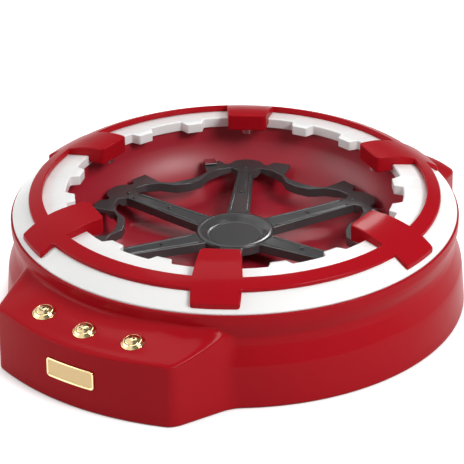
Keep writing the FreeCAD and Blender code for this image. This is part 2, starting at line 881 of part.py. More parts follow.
def lamps():
    """A reflector cup, a flat lens and a light-emitting diode under each block."""
    cups = []
    lenses = []
    diodes = []
    low = d.lamp_low
    for index in range(SEGMENTS):
        x, y = polar(d.lamp_radius, index * SEGMENT_ANGLE)
        cup = turned_piece("reflector", [
            (d.lamp_body - 0.8, low),
            (d.lamp_body, low),
            (d.lamp_body, d.lamp_seat),
            (d.diode_radius + 0.1, d.lamp_seat),
            (d.diode_radius + 0.1, low + 0.6 * d.lamp_length),
            (d.lamp_body - 0.8, low + 1.1),
        ])
        cups.append(place(cup, x, y))
        lenses.append(cylinder("lens", d.lamp_body - 0.8, 0.9, x, y, low + 0.2))
        diode = turned_piece("diode", [
            (0, low + 0.3 * d.lamp_length),
            (d.diode_radius, low + 0.3 * d.lamp_length + d.diode_radius, d.diode_radius, 1),
            (d.diode_radius, d.lamp_seat),
            (0, d.lamp_seat),
        ])
        diodes.append(place(diode, x, y))
    node(group("lamp_reflectors", cups), "lamp_reflectors")
    node(group("lamp_lenses", lenses), "lamp_lenses")
    node(group("lamp_leds", diodes), "lamp_leds")


def screws(name, spots, head_low, reach, head_radius, shank, head_height=2.0, point_up=True):
    """Pan head screws as heads with plain shanks."""
    pieces = []
    for x, y in spots:
        head = cylinder("screw_head", head_radius, head_height, x, y, head_low)
        if point_up:
            start = head_low + head_height
        else:
            start = head_low - reach
        stem = cylinder("screw_stem", shank, reach, x, y, start)
        pieces.append(joined("screw", [head, stem]))
    return node(group(name, pieces), name)


def spinner():
    """The six-spoked frame that holds the paper: scalloped band, lugs, dished hub and pegs."""
    neck = d.hub_radius
    under = d.spinner_top - d.spinner_thickness
    dish_rim = d.hub_dish_radius + 1.6
    section = turned_piece("spinner_section", [
        (0, d.hub_dish_floor),
        (0, d.spindle_top + 0.1),
        (d.spindle_radius, d.spindle_top + 0.1),
        (d.spindle_radius, d.hub_boss_low),
        (d.hub_boss_radius, d.hub_boss_low),
        (d.hub_boss_radius, d.hub_dish_floor - d.hub_floor_wall),
        (d.hub_dish_radius - 3, d.hub_dish_floor - d.hub_floor_wall),
        (d.hub_dish_radius - 1.5, d.hub_top - d.spinner_thickness - 1),
        (neck, d.hub_top - d.spinner_thickness),
        (d.spinner_neck_radius + 3, under),
        (d.spinner_neck_radius + 6, d.spinner_top - d.spinner_lug_thickness),
        (d.spinner_tip_radius + 2, d.spinner_top - d.spinner_lug_thickness),
        (d.spinner_tip_radius + 2, d.spinner_top),
        (d.spinner_neck_radius, d.spinner_top),
        (neck, d.hub_top),
        (dish_rim, d.hub_top + 0.4),
        (d.hub_dish_radius, d.hub_top),
        (d.hub_dish_radius - 3.4, d.hub_dish_floor),
    ])
    plan = new_body("spinner_plan")
    low = d.hub_boss_low - 2
    tall = d.spinner_top - low + 2
    half = SEGMENT_ANGLE / 2
    edge = [
        (-18.2, d.spinner_neck_radius),
        (-17.4, d.spinner_lug_radius),
        (-10.8, d.spinner_lug_radius),
        (-8.9, d.spinner_notch_radius),
        (-7.2, d.spinner_notch_radius),
        (-5.2, d.spinner_tip_radius - 2.8),
    ]
    sector = [(as_size(0), as_size(0)), polar(d.spinner_trough_radius, -half)]
    sector.append(polar(d.spinner_trough_radius + 1.6, -22.6))
    sector += [polar(radius, angle) for angle, radius in edge]
    sector.append(polar(d.spinner_tip_radius - 2.8, 5.2) + (16.8, 1))
    sector += [polar(radius, -angle) for angle, radius in reversed(edge[:-1])]
    sector.append(polar(d.spinner_trough_radius + 1.6, 22.6))
    sector.append(polar(d.spinner_trough_radius, half))
    petal = raised(plan, outline(plan, "XY_Plane", sector, low), tall)
    inner_trough = d.spinner_trough_radius - d.spinner_band
    bay = [
        (23.0, inner_trough + 1.8),
        (17.6, inner_trough + 10.6),
        (12.0, inner_trough + 16.0),
        (6.4, inner_trough + 17.8),
    ]
    spoke_end = inner_trough + 13.0
    spoke_tip = 0.5 * d.spoke_tip_width
    spoke_root = 0.5 * d.spoke_root_width
    root_x = root(d.hub_radius * d.hub_radius - spoke_root * spoke_root)
    near = (root_x, spoke_root)
    far = polar(root_x, SEGMENT_ANGLE, -spoke_root)
    window = [near, (spoke_end, spoke_tip)]
    window += [polar(radius, angle) for angle, radius in reversed(bay)]
    window.append(polar(inner_trough, half))
    window += [polar(radius, SEGMENT_ANGLE - angle) for angle, radius in bay]
    window.append(polar(spoke_end, SEGMENT_ANGLE, -spoke_tip))
    window.append(far)
    window[0] = near + (d.hub_radius, -1)
    repeated(plan, [petal])
    opening = pocketed(plan, outline(plan, "XY_Plane", window, low), tall, reverse=True)
    repeated(plan, [opening])
    frame = common("spinner_frame", section, plan)
    channels = spoke_channels(spoke_tip)
    pegs = []
    for index in range(SEGMENTS):
        angle = index * SEGMENT_ANGLE
        x, y = polar(d.spinner_neck_radius + 3, angle)
        pegs.append(cylinder("tip_peg", d.tip_peg_radius, d.tip_peg_height, x, y, d.spinner_top))
        x, y = polar(d.spoke_peg_circle, angle)
        low = spoke_height(d.spoke_peg_circle) - 0.5
        pegs.append(cylinder("spoke_peg", d.spoke_peg_radius, d.spoke_peg_height + 0.5, x, y, low))
    hollowed = cut("spinner_hollowed", frame, channels)
    return node(joined("spinner", [hollowed, spoke_ribs(spoke_tip)] + pegs), "spinner")


def spoke_height(radius):
    """Height of a spoke's top face at a radius."""
    rise = (d.spinner_top - d.hub_top) / (d.spinner_neck_radius - d.hub_radius)
    return d.hub_top + (radius - d.hub_radius) * rise


def spoke_ribs(half_width):
    """Two thin ribs along the outer half of each spoke, parallel to its sloped top."""
    start = d.spoke_rib_start
    end = d.spoke_rib_end
    high = d.spoke_rib_height
    band = turned_piece("spoke_rib_band", [
        (start, spoke_height(start) - 1),
        (end, spoke_height(end) - 1),
        (end, spoke_height(end) + high),
        (start, spoke_height(start) + high),
    ])
    plan = new_body("spoke_rib_plan")
    low = d.hub_top - 2
    outer = half_width - 0.6
    inner = outer - d.spoke_rib_width
    ribs = []
    for side in (-1, 1):
        sketch = outline(plan, "XY_Plane", [
            (start - 1, side * inner),
            (end + 1, side * inner),
            (end + 1, side * outer),
            (start - 1, side * outer),
        ], low)
        ribs.append(raised(plan, sketch, d.spinner_top - low + 2))
        if side < 0:
            bridge = outline(plan, "XY_Plane", [
                (start - 1, -inner),
                (start - 0.5, -inner),
                (start - 0.5, inner),
                (start - 1, inner),
            ], low)
            ribs.append(raised(plan, bridge, d.spinner_top - low + 2))
    repeated(plan, ribs)
    return common("spoke_ribs", band, plan)


def spoke_channels(half_width):
    """The hollow under each spoke, open below, that leaves a wall round it."""
    wall = d.spoke_wall
    start = d.hub_radius + 2 * wall
    end = d.spoke_rib_end
    hollow = turned_piece("channel_section", [
        (start, d.hub_boss_low),
        (end, d.hub_boss_low),
        (end, spoke_height(end) - wall),
        (start, spoke_height(start) - wall),
    ])
    plan = doc.addObject("Part::MultiFuse", "channel_plan")
    strips = []
    width = 2 * (half_width - wall)
    for index in range(SEGMENTS):
        angle = index * SEGMENT_ANGLE
        strip = doc.addObject("Part::Box", "channel_strip")
        bind(strip, "Length", end - start + 2)
        bind(strip, "Width", width)
        bind(strip, "Height", d.spinner_top - d.hub_boss_low)
        x, y = polar(start - 1, angle, -0.5 * width)
        strips.append(place(strip, x, y, d.hub_boss_low - 1, turn=angle))
    plan.Shapes = strips
    return common("spoke_channels", hollow, plan)


def paper_clips():
    """Four bent steel clips on lugs at the corners of a square sheet."""
    pieces = []
    outer = d.spinner_lug_radius + d.clip_sheet
    reach = d.clip_reach
    top = d.spinner_top + d.clip_lift
    under = d.spinner_top - d.spinner_lug_thickness - d.clip_sheet
    for index in range(4):
        body = new_body("clip")
        sketch = outline(body, "XZ_Plane", [
            (outer, under),
            (outer, top + d.clip_sheet),
            (outer - reach, top + d.clip_sheet),
            (outer - reach, top),
            (outer - d.clip_sheet, top),
            (outer - d.clip_sheet, under + d.clip_sheet),
            (outer - 0.7 * reach, under + d.clip_sheet),
            (outer - 0.7 * reach, under),
        ])
        pad = raised(body, sketch, d.clip_width)
        pad.Midplane = True
        pieces.append(place(body, turn=45 + 90 * index))
    return node(group("paper_clips", pieces), "paper_clips")


def toothed_disc(teeth, module, backlash, thickness, bore, turn):
    """A spur gear solid: involute flanks of 20 degrees, thinned by the backlash."""
    pitch = teeth * module / 2
    tip = pitch + 0.8 * module
    foot = pitch - 1.1 * module
    base = pitch * math.cos(math.radians(20))
    involute_at_pitch = math.tan(math.radians(20)) - math.radians(20)
    half_tooth = math.pi / (2 * teeth) - backlash / (2 * pitch)
    flank_start = max(base, foot)
    points = []
    for index in range(teeth):
        middle = math.radians(turn) + 2 * math.pi * index / teeth
        flank = []
        for step in range(3):
            radius = flank_start + (tip - flank_start) * step / 2
            pressure = math.acos(min(1, base / radius))
            lean = math.tan(pressure) - pressure
            flank.append((radius, half_tooth + involute_at_pitch - lean))
        flank.insert(0, (foot, flank[0][1]))
        for radius, angle in flank:
            points.append(FreeCAD.Vector(radius * math.cos(middle - angle), radius * math.sin(middle - angle), 0))
        for radius, angle in reversed(flank):
            points.append(FreeCAD.Vector(radius * math.cos(middle + angle), radius * math.sin(middle + angle), 0))
    points = [point for index, point in enumerate(points) if (point - points[index - 1]).Length > 1e-6]
    face = Part.Face(Part.makePolygon(points + [points[0]]))
    return face.extrude(FreeCAD.Vector(0, 0, thickness)).cut(Part.makeCylinder(bore, thickness))


def drive_train():
    """Motor, pinion, gear and spindle, on a steel plate over the base."""
    floor = d.base_floor
    plate_top = d.drive_plate_top
    motor_x = d.gear_spacing
    gap = d.running_gap

    gear = doc.addObject("Part::Feature", "drive_gear")
    gear.Shape = toothed_disc(
        int(d.gear_teeth.value), d.gear_module.value, d.gear_backlash.value,
        d.gear_thickness.value, d.spindle_radius.value, 0)
    node(place(gear, z=d.gear_low), "drive_gear")
    pinion = doc.addObject("Part::Feature", "motor_pinion")
    pinion.Shape = toothed_disc(
        int(d.pinion_teeth.value), d.gear_module.value, d.gear_backlash.value,
        d.gear_thickness.value, d.motor_shaft_radius.value, 180 / d.pinion_teeth.value)
    node(place(pinion, x=motor_x, z=d.gear_low), "motor_pinion")

    shoulder = d.hub_boss_low
    node(turned_piece("spindle", [
        (0, d.spindle_low),
        (d.spindle_radius, d.spindle_low),
        (d.spindle_radius, shoulder - 1.2),
        (d.spindle_radius + 2, shoulder - 1.2),
        (d.spindle_radius + 2, shoulder),
        (d.spindle_radius, shoulder),
        (d.spindle_radius, d.spindle_top),
        (0, d.spindle_top),
    ]), "spindle")

    flange = d.bush_flange_sheet
    lower_top = floor + 1.5 * d.bush_radius
    upper = turned_piece("upper_bush", [
        (d.spindle_radius + gap, d.drive_plate_low - flange),
        (d.bush_radius, d.drive_plate_low - flange),
        (d.bush_radius, plate_top),
        (d.bush_flange, plate_top),
        (d.bush_flange, plate_top + flange),
        (d.spindle_radius + gap, plate_top + flange),
    ])
    lower = turned_piece("lower_bush", [
        (d.spindle_radius + gap, floor + 1),
        (d.bush_radius, floor + 1),
        (d.bush_radius, lower_top),
        (d.bush_flange, lower_top),
        (d.bush_flange, lower_top + flange),
        (d.spindle_radius + gap, lower_top + flange),
    ])
    node(group("spindle_bushes", [upper, lower]), "spindle_bushes")
    washer_low = plate_top + flange
    node(turned_piece("thrust_washer", [
        (d.spindle_radius + gap, washer_low),
        (d.bush_flange, washer_low),
        (d.bush_flange, d.gear_low - 0.1),
        (d.spindle_radius + gap, d.gear_low - 0.1),
    ]), "thrust_washer")
    ring_top = d.drive_plate_low - flange - d.joint_gap
    node(turned_piece("retaining_ring", [
        (d.spindle_radius, ring_top - flange),
        (d.bush_flange - 1, ring_top - flange),
        (d.bush_flange - 1, ring_top),
        (d.spindle_radius, ring_top),
    ]), "retaining_ring")

    plate = block("plate_sheet", d.drive_plate_length, d.drive_plate_width, d.drive_plate_sheet,
                  motor_x - d.drive_plate_shift, 0, d.drive_plate_low)
    holes = [
        cylinder("bush_hole", d.bush_radius, 2 * d.drive_plate_sheet, 0, 0, d.drive_plate_low - 1),
        cylinder("motor_boss_hole", d.motor_boss, 2 * d.drive_plate_sheet, motor_x, 0, d.drive_plate_low - 1),
    ]
    for x, y in motor_screw_spots():
        holes.append(cylinder("motor_screw_hole", d.motor_screw, 2 * d.drive_plate_sheet, x, y, d.drive_plate_low - 1))
    for x, y in plate_screw_spots():
        holes.append(cylinder("plate_screw_hole", d.screw_shank, 2 * d.drive_plate_sheet, x, y, d.drive_plate_low - 1))
    node(cut("drive_plate", plate, joined("drive_plate_holes", holes)), "drive_plate")
    screws("drive_plate_screws", plate_screw_spots(), plate_top, 9, 2.9, d.screw_shank, 1.7, point_up=False)

    motor_low = d.drive_plate_low - d.motor_length
    cap = d.motor_cap
    can = turned_piece("motor_can_turned", [
        (d.motor_shaft_radius + gap, motor_low + cap),
        (d.motor_radius, motor_low + cap),
        (d.motor_radius, d.drive_plate_low - 1),
        (d.motor_radius - 1, d.drive_plate_low),
        (d.motor_boss, d.drive_plate_low),
        (d.motor_boss, plate_top),
        (d.motor_shaft_radius + gap, plate_top),
    ])
    taps = [cylinder("motor_tap", d.motor_screw, 3, x, y, d.drive_plate_low - 3) for x, y in motor_screw_spots()]
    motor = place(can, x=motor_x)
    node(cut("motor_can", motor, joined("motor_taps", taps)), "motor_can")
    end_cap = turned_piece("motor_end_cap", [
        (0, motor_low),
        (d.motor_radius - 1.4, motor_low),
        (d.motor_radius - 0.4, motor_low + 1),
        (d.motor_radius - 0.4, motor_low + cap),
        (0, motor_low + cap),
    ])
    node(place(end_cap, x=motor_x), "motor_end_cap")
    shaft_top = d.gear_low + d.gear_thickness + 0.6
    shaft = cylinder("motor_shaft", d.motor_shaft_radius, shaft_top - motor_low - cap - 0.3,
                     motor_x, 0, motor_low + cap + 0.3)
    node(shaft, "motor_shaft")
    screws("motor_screws", motor_screw_spots(), plate_top, 4, 2.2, d.motor_screw, 1.4, point_up=False)


def motor_screw_spots():
    return [(d.gear_spacing, side * 0.62 * d.motor_radius) for side in (-1, 1)]


def plate_screw_spots():
    middle = d.gear_spacing - d.drive_plate_shift
    along = 0.5 * d.drive_plate_length - 1.125 * d.pillar_radius
    across = 0.5 * d.drive_plate_width - 1.25 * d.pillar_radius
    return [(middle + side * along, edge * across) for side in (-1, 1) for edge in (-1, 1)]


def foot_spots():
    """Seven feet: two under each pod, one on each flank and one under the spindle."""
    across = d.foot_across
    along = d.pod_radius - d.foot_setback
    flank = d.shoulder_radius - 2 * d.foot_setback
    spots = [(sx * across, sy * along) for sx in (-1, 1) for sy in (-1, 1)]
    return spots + [(x, as_size(0)) for x in (-flank, as_size(0), flank)]


def base():
    """The plate that closes the housing from below, with pillars, bush seat and battery opening."""
    low = d.base_plate_low
    thick = d.base_plate_thickness
    floor = low + thick
    body = new_body("base_plate_sheet")
    disc = new_sketch(body, "XY_Plane", low)
    add_circle(disc, 0, 0, d.base_radius - d.wall - 2 * d.joint_gap)
    raised(body, disc, thick)
    raised(body, outline(body, "XY_Plane", pod_plan(d.wall + d.joint_gap), low), thick)
    for radius in (d.plate_rib_inner, d.plate_rib_outer):
        ring = new_sketch(body, "XY_Plane", floor)
        add_circle(ring, 0, 0, radius)
        add_circle(ring, 0, 0, radius - d.plate_rib_wall)
        raised(body, ring, d.plate_rib_height)
    half_wall = 0.5 * d.plate_rib_wall
    spoke = raised(body, outline(body, "XY_Plane", [
        (d.plate_rib_inner - half_wall, -half_wall),
        (d.plate_rib_outer - half_wall, -half_wall),
        (d.plate_rib_outer - half_wall, half_wall),
        (d.plate_rib_inner - half_wall, half_wall),
    ], floor), d.plate_rib_height)
    repeated(body, [spoke])
    pieces = [body, cylinder("bush_seat", d.bush_radius + 3, 1.5 * d.bush_radius, 0, 0, floor)]
    tools = [cylinder("bush_bore", d.bush_radius, 2 * d.bush_radius, 0, 0, floor)]
    for x, y in plate_screw_spots():
        pieces.append(cylinder("pillar", d.pillar_radius, d.pillar_height, x, y, floor))
        tools.append(cylinder("pillar_hole", d.screw_shank, 8, x, y, d.drive_plate_low - 7.5))
    for x, y in base_screw_spots():
        tools.append(cylinder("base_screw_hole", d.screw_shank, 2 * thick, x, y, low - 1))
    bay = 2 * d.bay_half_length
    tools.append(block("bay_opening", bay, d.bay_width, 2 * thick, 0, d.bay_offset, low - 1))
    tab = d.door_tab + 2 * d.joint_gap
    tab_width = d.door_tab_width + 2 * d.joint_gap
    tools.append(block("tab_opening", 2 * tab, tab_width, 2 * thick, d.bay_half_length, d.bay_offset, low - 1))
    solid = joined("base_plate_solid", pieces)
    node(cut("base_plate", solid, joined("base_plate_cuts", tools)), "base_plate")
    screws("base_screws", base_screw_spots(), d.foot_gap - 0.9, 12, d.screw_head, d.screw_shank, low - d.foot_gap + 0.9)
    feet = [cylinder("foot", d.foot_radius, low, x, y, 0) for x, y in foot_spots()]
    node(group("rubber_feet", feet), "rubber_feet")


def battery_bay():
    """Four cells in two rows, in a box that opens downwards through a screwed door."""
    floor = d.base_floor
    wall = d.bay_wall
    middle = d.bay_offset
    half = d.bay_half_length
    axis_z = floor + 0.2 + d.cell_radius
    inner_top = axis_z + d.cell_radius + d.bay_headroom
    shell = block("bay_shell", 2 * (half + wall), d.bay_width + 2 * wall, inner_top + wall - floor, 0, middle, floor)
    foot = block("bay_foot", d.door_tab, d.door_tab_width, 8, half + 0.5 * d.door_tab, middle, floor)
    space = block("bay_space", 2 * half, d.bay_width, inner_top - floor + 1, 0, middle, floor - 1)
    screw_x = half + wall + 0.5 * (d.door_tab - wall)
    pilot = cylinder("bay_pilot", d.screw_shank + d.running_gap, 7, screw_x, middle, floor - 1)
    box = cut("battery_box", joined("bay_walls", [shell, foot]), joined("bay_cuts", [space, pilot]))
    node(box, "battery_box")

    gap = d.joint_gap
    panel = block("door_panel", 2 * (half - gap), d.bay_width - 2 * gap, d.base_plate_thickness,
                  0, middle, d.base_plate_low)
    tab = block("door_tab", d.door_tab + gap, d.door_tab_width, d.base_plate_thickness,
                half + 0.5 * (d.door_tab - gap), middle, d.base_plate_low)
    hole = cylinder("door_hole", d.screw_shank, 2 * d.base_plate_thickness, screw_x, middle, d.base_plate_low - 1)
    grooves = [hole]
    for step in (-1, 0, 1):
        y = middle + step * d.door_groove_pitch
        grooves.append(block("door_groove", 0.5 * half, d.door_groove, 2 * d.door_groove_depth,
                             0.5 * half, y, d.base_plate_low - d.door_groove_depth))
    node(cut("battery_door", joined("door_sheet", [panel, tab]), joined("door_cuts", grooves)), "battery_door")
    screws("battery_door_screw", [(screw_x, middle)], d.foot_gap - 0.9, 7, d.screw_head, d.screw_shank,
           d.base_plate_low - d.foot_gap + 0.9)

    length = d.cell_body + d.cell_nipple
    cells = []
    springs = []
    contacts = []
    for side in (-1, 1):
        y = middle + side * 0.5 * d.cell_pitch
        for step in (-1, 0):
            cell = turned_piece("cell", [
                (0, 0),
                (d.cell_radius - 0.6, 0),
                (d.cell_radius, 0.6),
                (d.cell_radius, d.cell_body - 0.6),
                (d.cell_radius - 0.6, d.cell_body),
                (d.cell_nipple_radius, d.cell_body),
                (d.cell_nipple_radius, length),
                (0, length),
            ])
            cells.append(lay(cell, side, side * (step * length - 0.2), y, axis_z))
        spring = turned_piece("contact_spring", [
            (4.2, 0),
            (6.4, 0),
            (4.4, half - length - 0.7),
            (2.6, half - length - 0.7),
        ])
        springs.append(lay(spring, side, -side * (half - d.contact_sheet), y, axis_z))
        size = d.contact_size
        sheet_x = half - 0.5 * d.contact_sheet
        low = axis_z - 0.5 * size
        minus = block("minus_contact", d.contact_sheet, size, size, -side * sheet_x, y, low)
        plus = block("plus_contact", d.contact_sheet, size, size, side * sheet_x, y, low)
        button = cylinder("plus_button", d.cell_nipple_radius + 0.4, half - length - 0.3)
        lay(button, side, side * (length - 0.2), y, axis_z)
        contacts += [minus, joined("plus_plate", [plus, button])]
    node(group("battery_cells", cells), "battery_cells")
    node(group("battery_springs", springs), "battery_springs")
    node(group("battery_contacts", contacts), "battery_contacts")


def lay(piece, side, x, y, z):
    """Lays a turned piece down so that its axis runs along +X or -X."""
    place(piece, x, y, z)
    base = piece.Placement.Base
    piece.Placement = FreeCAD.Placement(base, FreeCAD.Rotation(FreeCAD.Vector(0, 1, 0), side * 90))
    return piece


def button_pod():
    """Three sprung buttons in chromed bezels over a board of push switches."""
    bezels = []
    switches = []
    names = ("button_left", "button_middle", "button_right")
    neck = d.bezel_neck
    bore = d.button_bore
    crown = d.button_top - d.button_side
    dome = (d.button_radius * d.button_radius + crown * crown) / (2 * crown)
    flange_top = -d.wall - d.joint_gap
    board_top = -d.board_depth
    stem_low = board_top + d.switch_height + d.switch_knob + 0.2 + d.button_travel
    for name, (x, y, z) in zip(names, button_spots()):
        bezel = turned_piece("bezel", [
            (bore, -d.wall),
            (neck, -d.wall),
            (neck, 0),
            (d.bezel_radius, 0),
            (d.bezel_radius, 0.8),
            (d.bezel_radius - 1.4, d.bezel_height, 1.9, 1),
            (bore + 0.5, d.bezel_height),
            (bore, d.bezel_height - 0.5),
        ])
        bezels.append(on_slope(bezel, x, y, z))
        cap = turned_piece(f"{name}_cap", [
            (0, d.button_top, dome, 1),
            (0, stem_low),
            (1.8, stem_low),
            (1.8, flange_top - d.button_flange),
            (d.button_radius + d.button_flange, flange_top - d.button_flange),
            (d.button_radius + d.button_flange, flange_top),
            (d.button_radius, flange_top),
            (d.button_radius, d.button_side),
        ])
        node(on_slope(cap, x, y, z), name)
        case = block("switch_case", d.switch_size, d.switch_size, d.switch_height)
        tilted_block(case, x, y, z, -0.5 * d.switch_size, -0.5 * d.switch_size, board_top)
        knob = on_slope(cylinder("switch_knob", 1.7, d.switch_knob), x, y, z, board_top + d.switch_height)
        switches.append(joined("switch", [case, knob]))
    node(group("button_bezels", bezels), "button_bezels")
    node(group("tact_switches", switches), "tact_switches")

    middle_z = slope_height(d.board_offset)
    sheet_piece = block("board_sheet", d.board_length, d.board_width, d.board_thickness)
    tilted_block(sheet_piece, as_size(0), -d.board_offset, middle_z, -0.5 * d.board_length,
                 -0.5 * d.board_width, board_top - d.board_thickness)
    holes = []
    pieces = []
    for side in (-1, 1):
        x = side * d.button_spacing / 2
        hole = cylinder("board_hole", d.board_screw, 3 * d.board_thickness)
        holes.append(on_slope(hole, x, -d.board_offset, middle_z, board_top - 2 * d.board_thickness))
        head = cylinder("board_screw_head", 2.2, 1.4)
        on_slope(head, x, -d.board_offset, middle_z, board_top - d.board_thickness - 1.4)
        stem = cylinder("board_screw_stem", d.board_screw, 5)
        on_slope(stem, x, -d.board_offset, middle_z, board_top - d.board_thickness)
        pieces.append(joined("board_screw", [head, stem]))
    node(cut("switch_board", sheet_piece, joined("board_holes", holes)), "switch_board")
    node(group("board_screws", pieces), "board_screws")


def tilted_block(piece, x, y, z, along, across, lift):
    """Places a box square to the slope, from its corner's offsets along, across and above."""
    along = as_size(along)
    across = as_size(across)
    lift = as_size(lift)
    lean = d.pod_slope
    return place(
        piece, x + along, y + across * cosine(lean) - lift * sine(lean),
        z + across * sine(lean) + lift * cosine(lean), tilt=lean)


def plate_outline(name, inset):
    """The plate's rounded rectangle, seen from the front, moved inwards by an inset."""
    side = 0.5 * d.plate_length - inset
    low = d.plate_bottom + inset
    high = d.plate_top - inset
    corner = d.plate_corner - 0.6 * inset
    body = new_body(name)
    raised(body, outline(body, "XZ_Plane", [
        (side - corner, low),
        (side, low + corner, corner, 1),
        (side, high - corner),
        (side - corner, high, corner, 1),
        (-side + corner, high),
        (-side, high - corner, corner, 1),
        (-side, low + corner),
        (-side + corner, low, corner, 1),
    ]), d.pod_radius + 2 * d.plate_rim)
    return body


def name_plate():
    """The blank plate that follows the pod's front curve, its field sunk inside a raised rim."""
    angle = (d.plate_length + 2) / d.pod_radius * (180 / math.pi)
    low = d.plate_bottom - 1
    high = d.plate_top + 1
    face = d.pod_radius + d.plate_thickness
    edge = d.pod_radius + d.plate_rim
    band = turned_piece("plate_band", [(d.pod_radius, low), (edge, low), (edge, high), (d.pod_radius, high)], angle)
    inside = turned_piece("plate_inside", [(face, low), (edge + 1, low), (edge + 1, high), (face, high)], angle)
    blank = common("plate_blank", place(band, turn=-90), plate_outline("plate_shape", as_size(0)))
    field = common("plate_field", place(inside, turn=-90), plate_outline("field_shape", d.plate_rim_width))
    return node(cut("name_plate", blank, field), "name_plate")


def rim_screws():
    spots = [polar(d.rim_screw_radius, index * SEGMENT_ANGLE) for index in range(SEGMENTS)]
    head_low = d.bowl_mouth_height - d.bowl_wall - 2
    screws("rim_screws", spots, head_low, 11, d.screw_head, d.screw_shank)


def write_nodes():
    """Checks every object of the document, then writes each node."""
    doc.recompute()
    for item in doc.Objects:
        if "Invalid" in item.State or "Error" in item.State:
            raise RuntimeError(f"{item.Name} ({item.Label}) is {item.State}")
    for name, thing in NODES.items():
        if thing.Shape.isNull() or not thing.Shape.isValid():
            raise RuntimeError(f"{name} has no valid shape")
    os.makedirs("parts", exist_ok=True)
    for name, thing in NODES.items():
        thing.Shape.exportStep(f"parts/{name}.step")


housing()
base()
splash_bowl()
rim_ring()
rim_screws()
lamp_ring()
lamps()
drive_train()
spinner()
paper_clips()
button_pod()
battery_bay()
name_plate()
write_nodes()
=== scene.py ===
"""Looks of the spin art machine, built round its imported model."""

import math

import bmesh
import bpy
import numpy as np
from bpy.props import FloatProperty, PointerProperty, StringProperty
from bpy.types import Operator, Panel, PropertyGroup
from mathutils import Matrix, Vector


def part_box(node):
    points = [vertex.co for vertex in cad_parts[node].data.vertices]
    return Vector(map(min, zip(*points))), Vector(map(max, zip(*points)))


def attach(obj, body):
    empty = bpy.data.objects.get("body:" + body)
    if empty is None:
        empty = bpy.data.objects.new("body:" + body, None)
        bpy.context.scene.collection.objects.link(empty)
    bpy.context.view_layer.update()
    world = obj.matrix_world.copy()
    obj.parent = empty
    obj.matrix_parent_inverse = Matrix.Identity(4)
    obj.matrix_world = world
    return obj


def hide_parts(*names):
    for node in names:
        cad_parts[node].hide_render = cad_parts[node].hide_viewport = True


bl_info = {
    "name": "Spin Art Machine",
    "version": (1, 0, 0),
    "blender": (4, 5, 0),
    "location": "View3D > Sidebar > Spin Art",
    "description": "Moulded shells, spinner, buttons and finishes of a spin art machine",
    "category": "Object",
}

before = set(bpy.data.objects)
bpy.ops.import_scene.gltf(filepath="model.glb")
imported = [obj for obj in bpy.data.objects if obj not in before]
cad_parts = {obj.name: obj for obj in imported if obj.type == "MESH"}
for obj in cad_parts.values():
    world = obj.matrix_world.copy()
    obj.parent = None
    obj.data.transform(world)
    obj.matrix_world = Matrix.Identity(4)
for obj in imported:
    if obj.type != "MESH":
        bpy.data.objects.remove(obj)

MM = 0.001
BAYS = 6
BAY_ANGLE = 2 * math.pi / BAYS

# Lengths in millimetres, and turns in degrees from the middle of a bay.
BOWL_FLOOR = 34.0
BOWL_FLOOR_RADIUS = 80.0
BOWL_KNEE = (122.6, 66.0)
BOWL_ARC = 44.4
BOWL_WALL = 2.2
BOWL_COLLAR = 8.0
TOOTH_HALF_WIDTH = 8.9
TOOTH_FLANK = 3.6
TOOTH_TURNS = (-10, 10)
HUB_RADIUS = 28.5
HUB_TOP = 51.6
DISH_DEPTH = 3.2
SPOKE_RISE = 2.9
BAND_WIDTH = 19.4

# The buttons, in millimetres, with heights above the pod's top. The caps were read from the photo.
BUTTON_RADIUS = 5.4
BUTTON_SIDE = 2.9
BUTTON_TOP = 4.5
BUTTON_HOLE = 7.05
BUTTON_BEZEL = 8.4
SIGN_SUNK = 0.08
SIGN_RAISED = 0.12

# The blank plate, in millimetres. Past the centre line a loop of its outline would turn inside out.
PLATE_HALF_WIDTH = 20.0
PLATE_HALF_HEIGHT = 7.3
PLATE_CORNER = 2.6
PLATE_MIDDLE = 25.7
PLATE_CENTRE_LINE = 7.299

# The camera, in degrees, metres and millimetres of lens, from a fit to the round rims.
CAMERA_TURN = 35.18
CAMERA_ROLL = -0.60
CAMERA_ELEVATION = 27.02
CAMERA_DISTANCE = 2.1732
CAMERA_LENS = 232.98
CAMERA_SHIFT = (-0.0080, -0.0262)
CAMERA_AIM_HEIGHT = 0.06
CAMERA_AIM_RIGHT = 0.000577

# Azimuth and elevation as the camera sees them, distance, width and height in metres, power in watts.
SOFTBOXES = {
    "key_softbox": ((-38, 43), 1.5, (0.7, 0.55), 17.0),
    "left_softbox": ((-178, 20), 1.8, (1.6, 0.9), 12.0),
    "top_softbox": ((100, 66), 1.8, (1.0, 0.8), 6.0),
    "rear_spot": ((78, 36), 1.5, (0.22, 0.22), 3.0),
}
LIGHT_AIM_HEIGHT = 0.05

# The floor's side in millimetres, the reach of its painted contact shadow in metres, and strengths of floor
# and sky.
FLOOR_SIDE = 5000.0
PAINTED_CONTACT_SHADOW = 12 * MM
FLOOR_GLOW = 0.82
EVEN_SKY = 0.22


def length(name, description, default, high=0.4):
    """A length property in metres, given here in millimetres."""
    return FloatProperty(
        name=name, description=description, default=default * MM, min=0, max=high, unit="LENGTH", precision=5)


def colour(name, description, default):
    """A colour property that holds an sRGB hex value."""
    return StringProperty(name=name, description=description, default=default, maxlen=7)


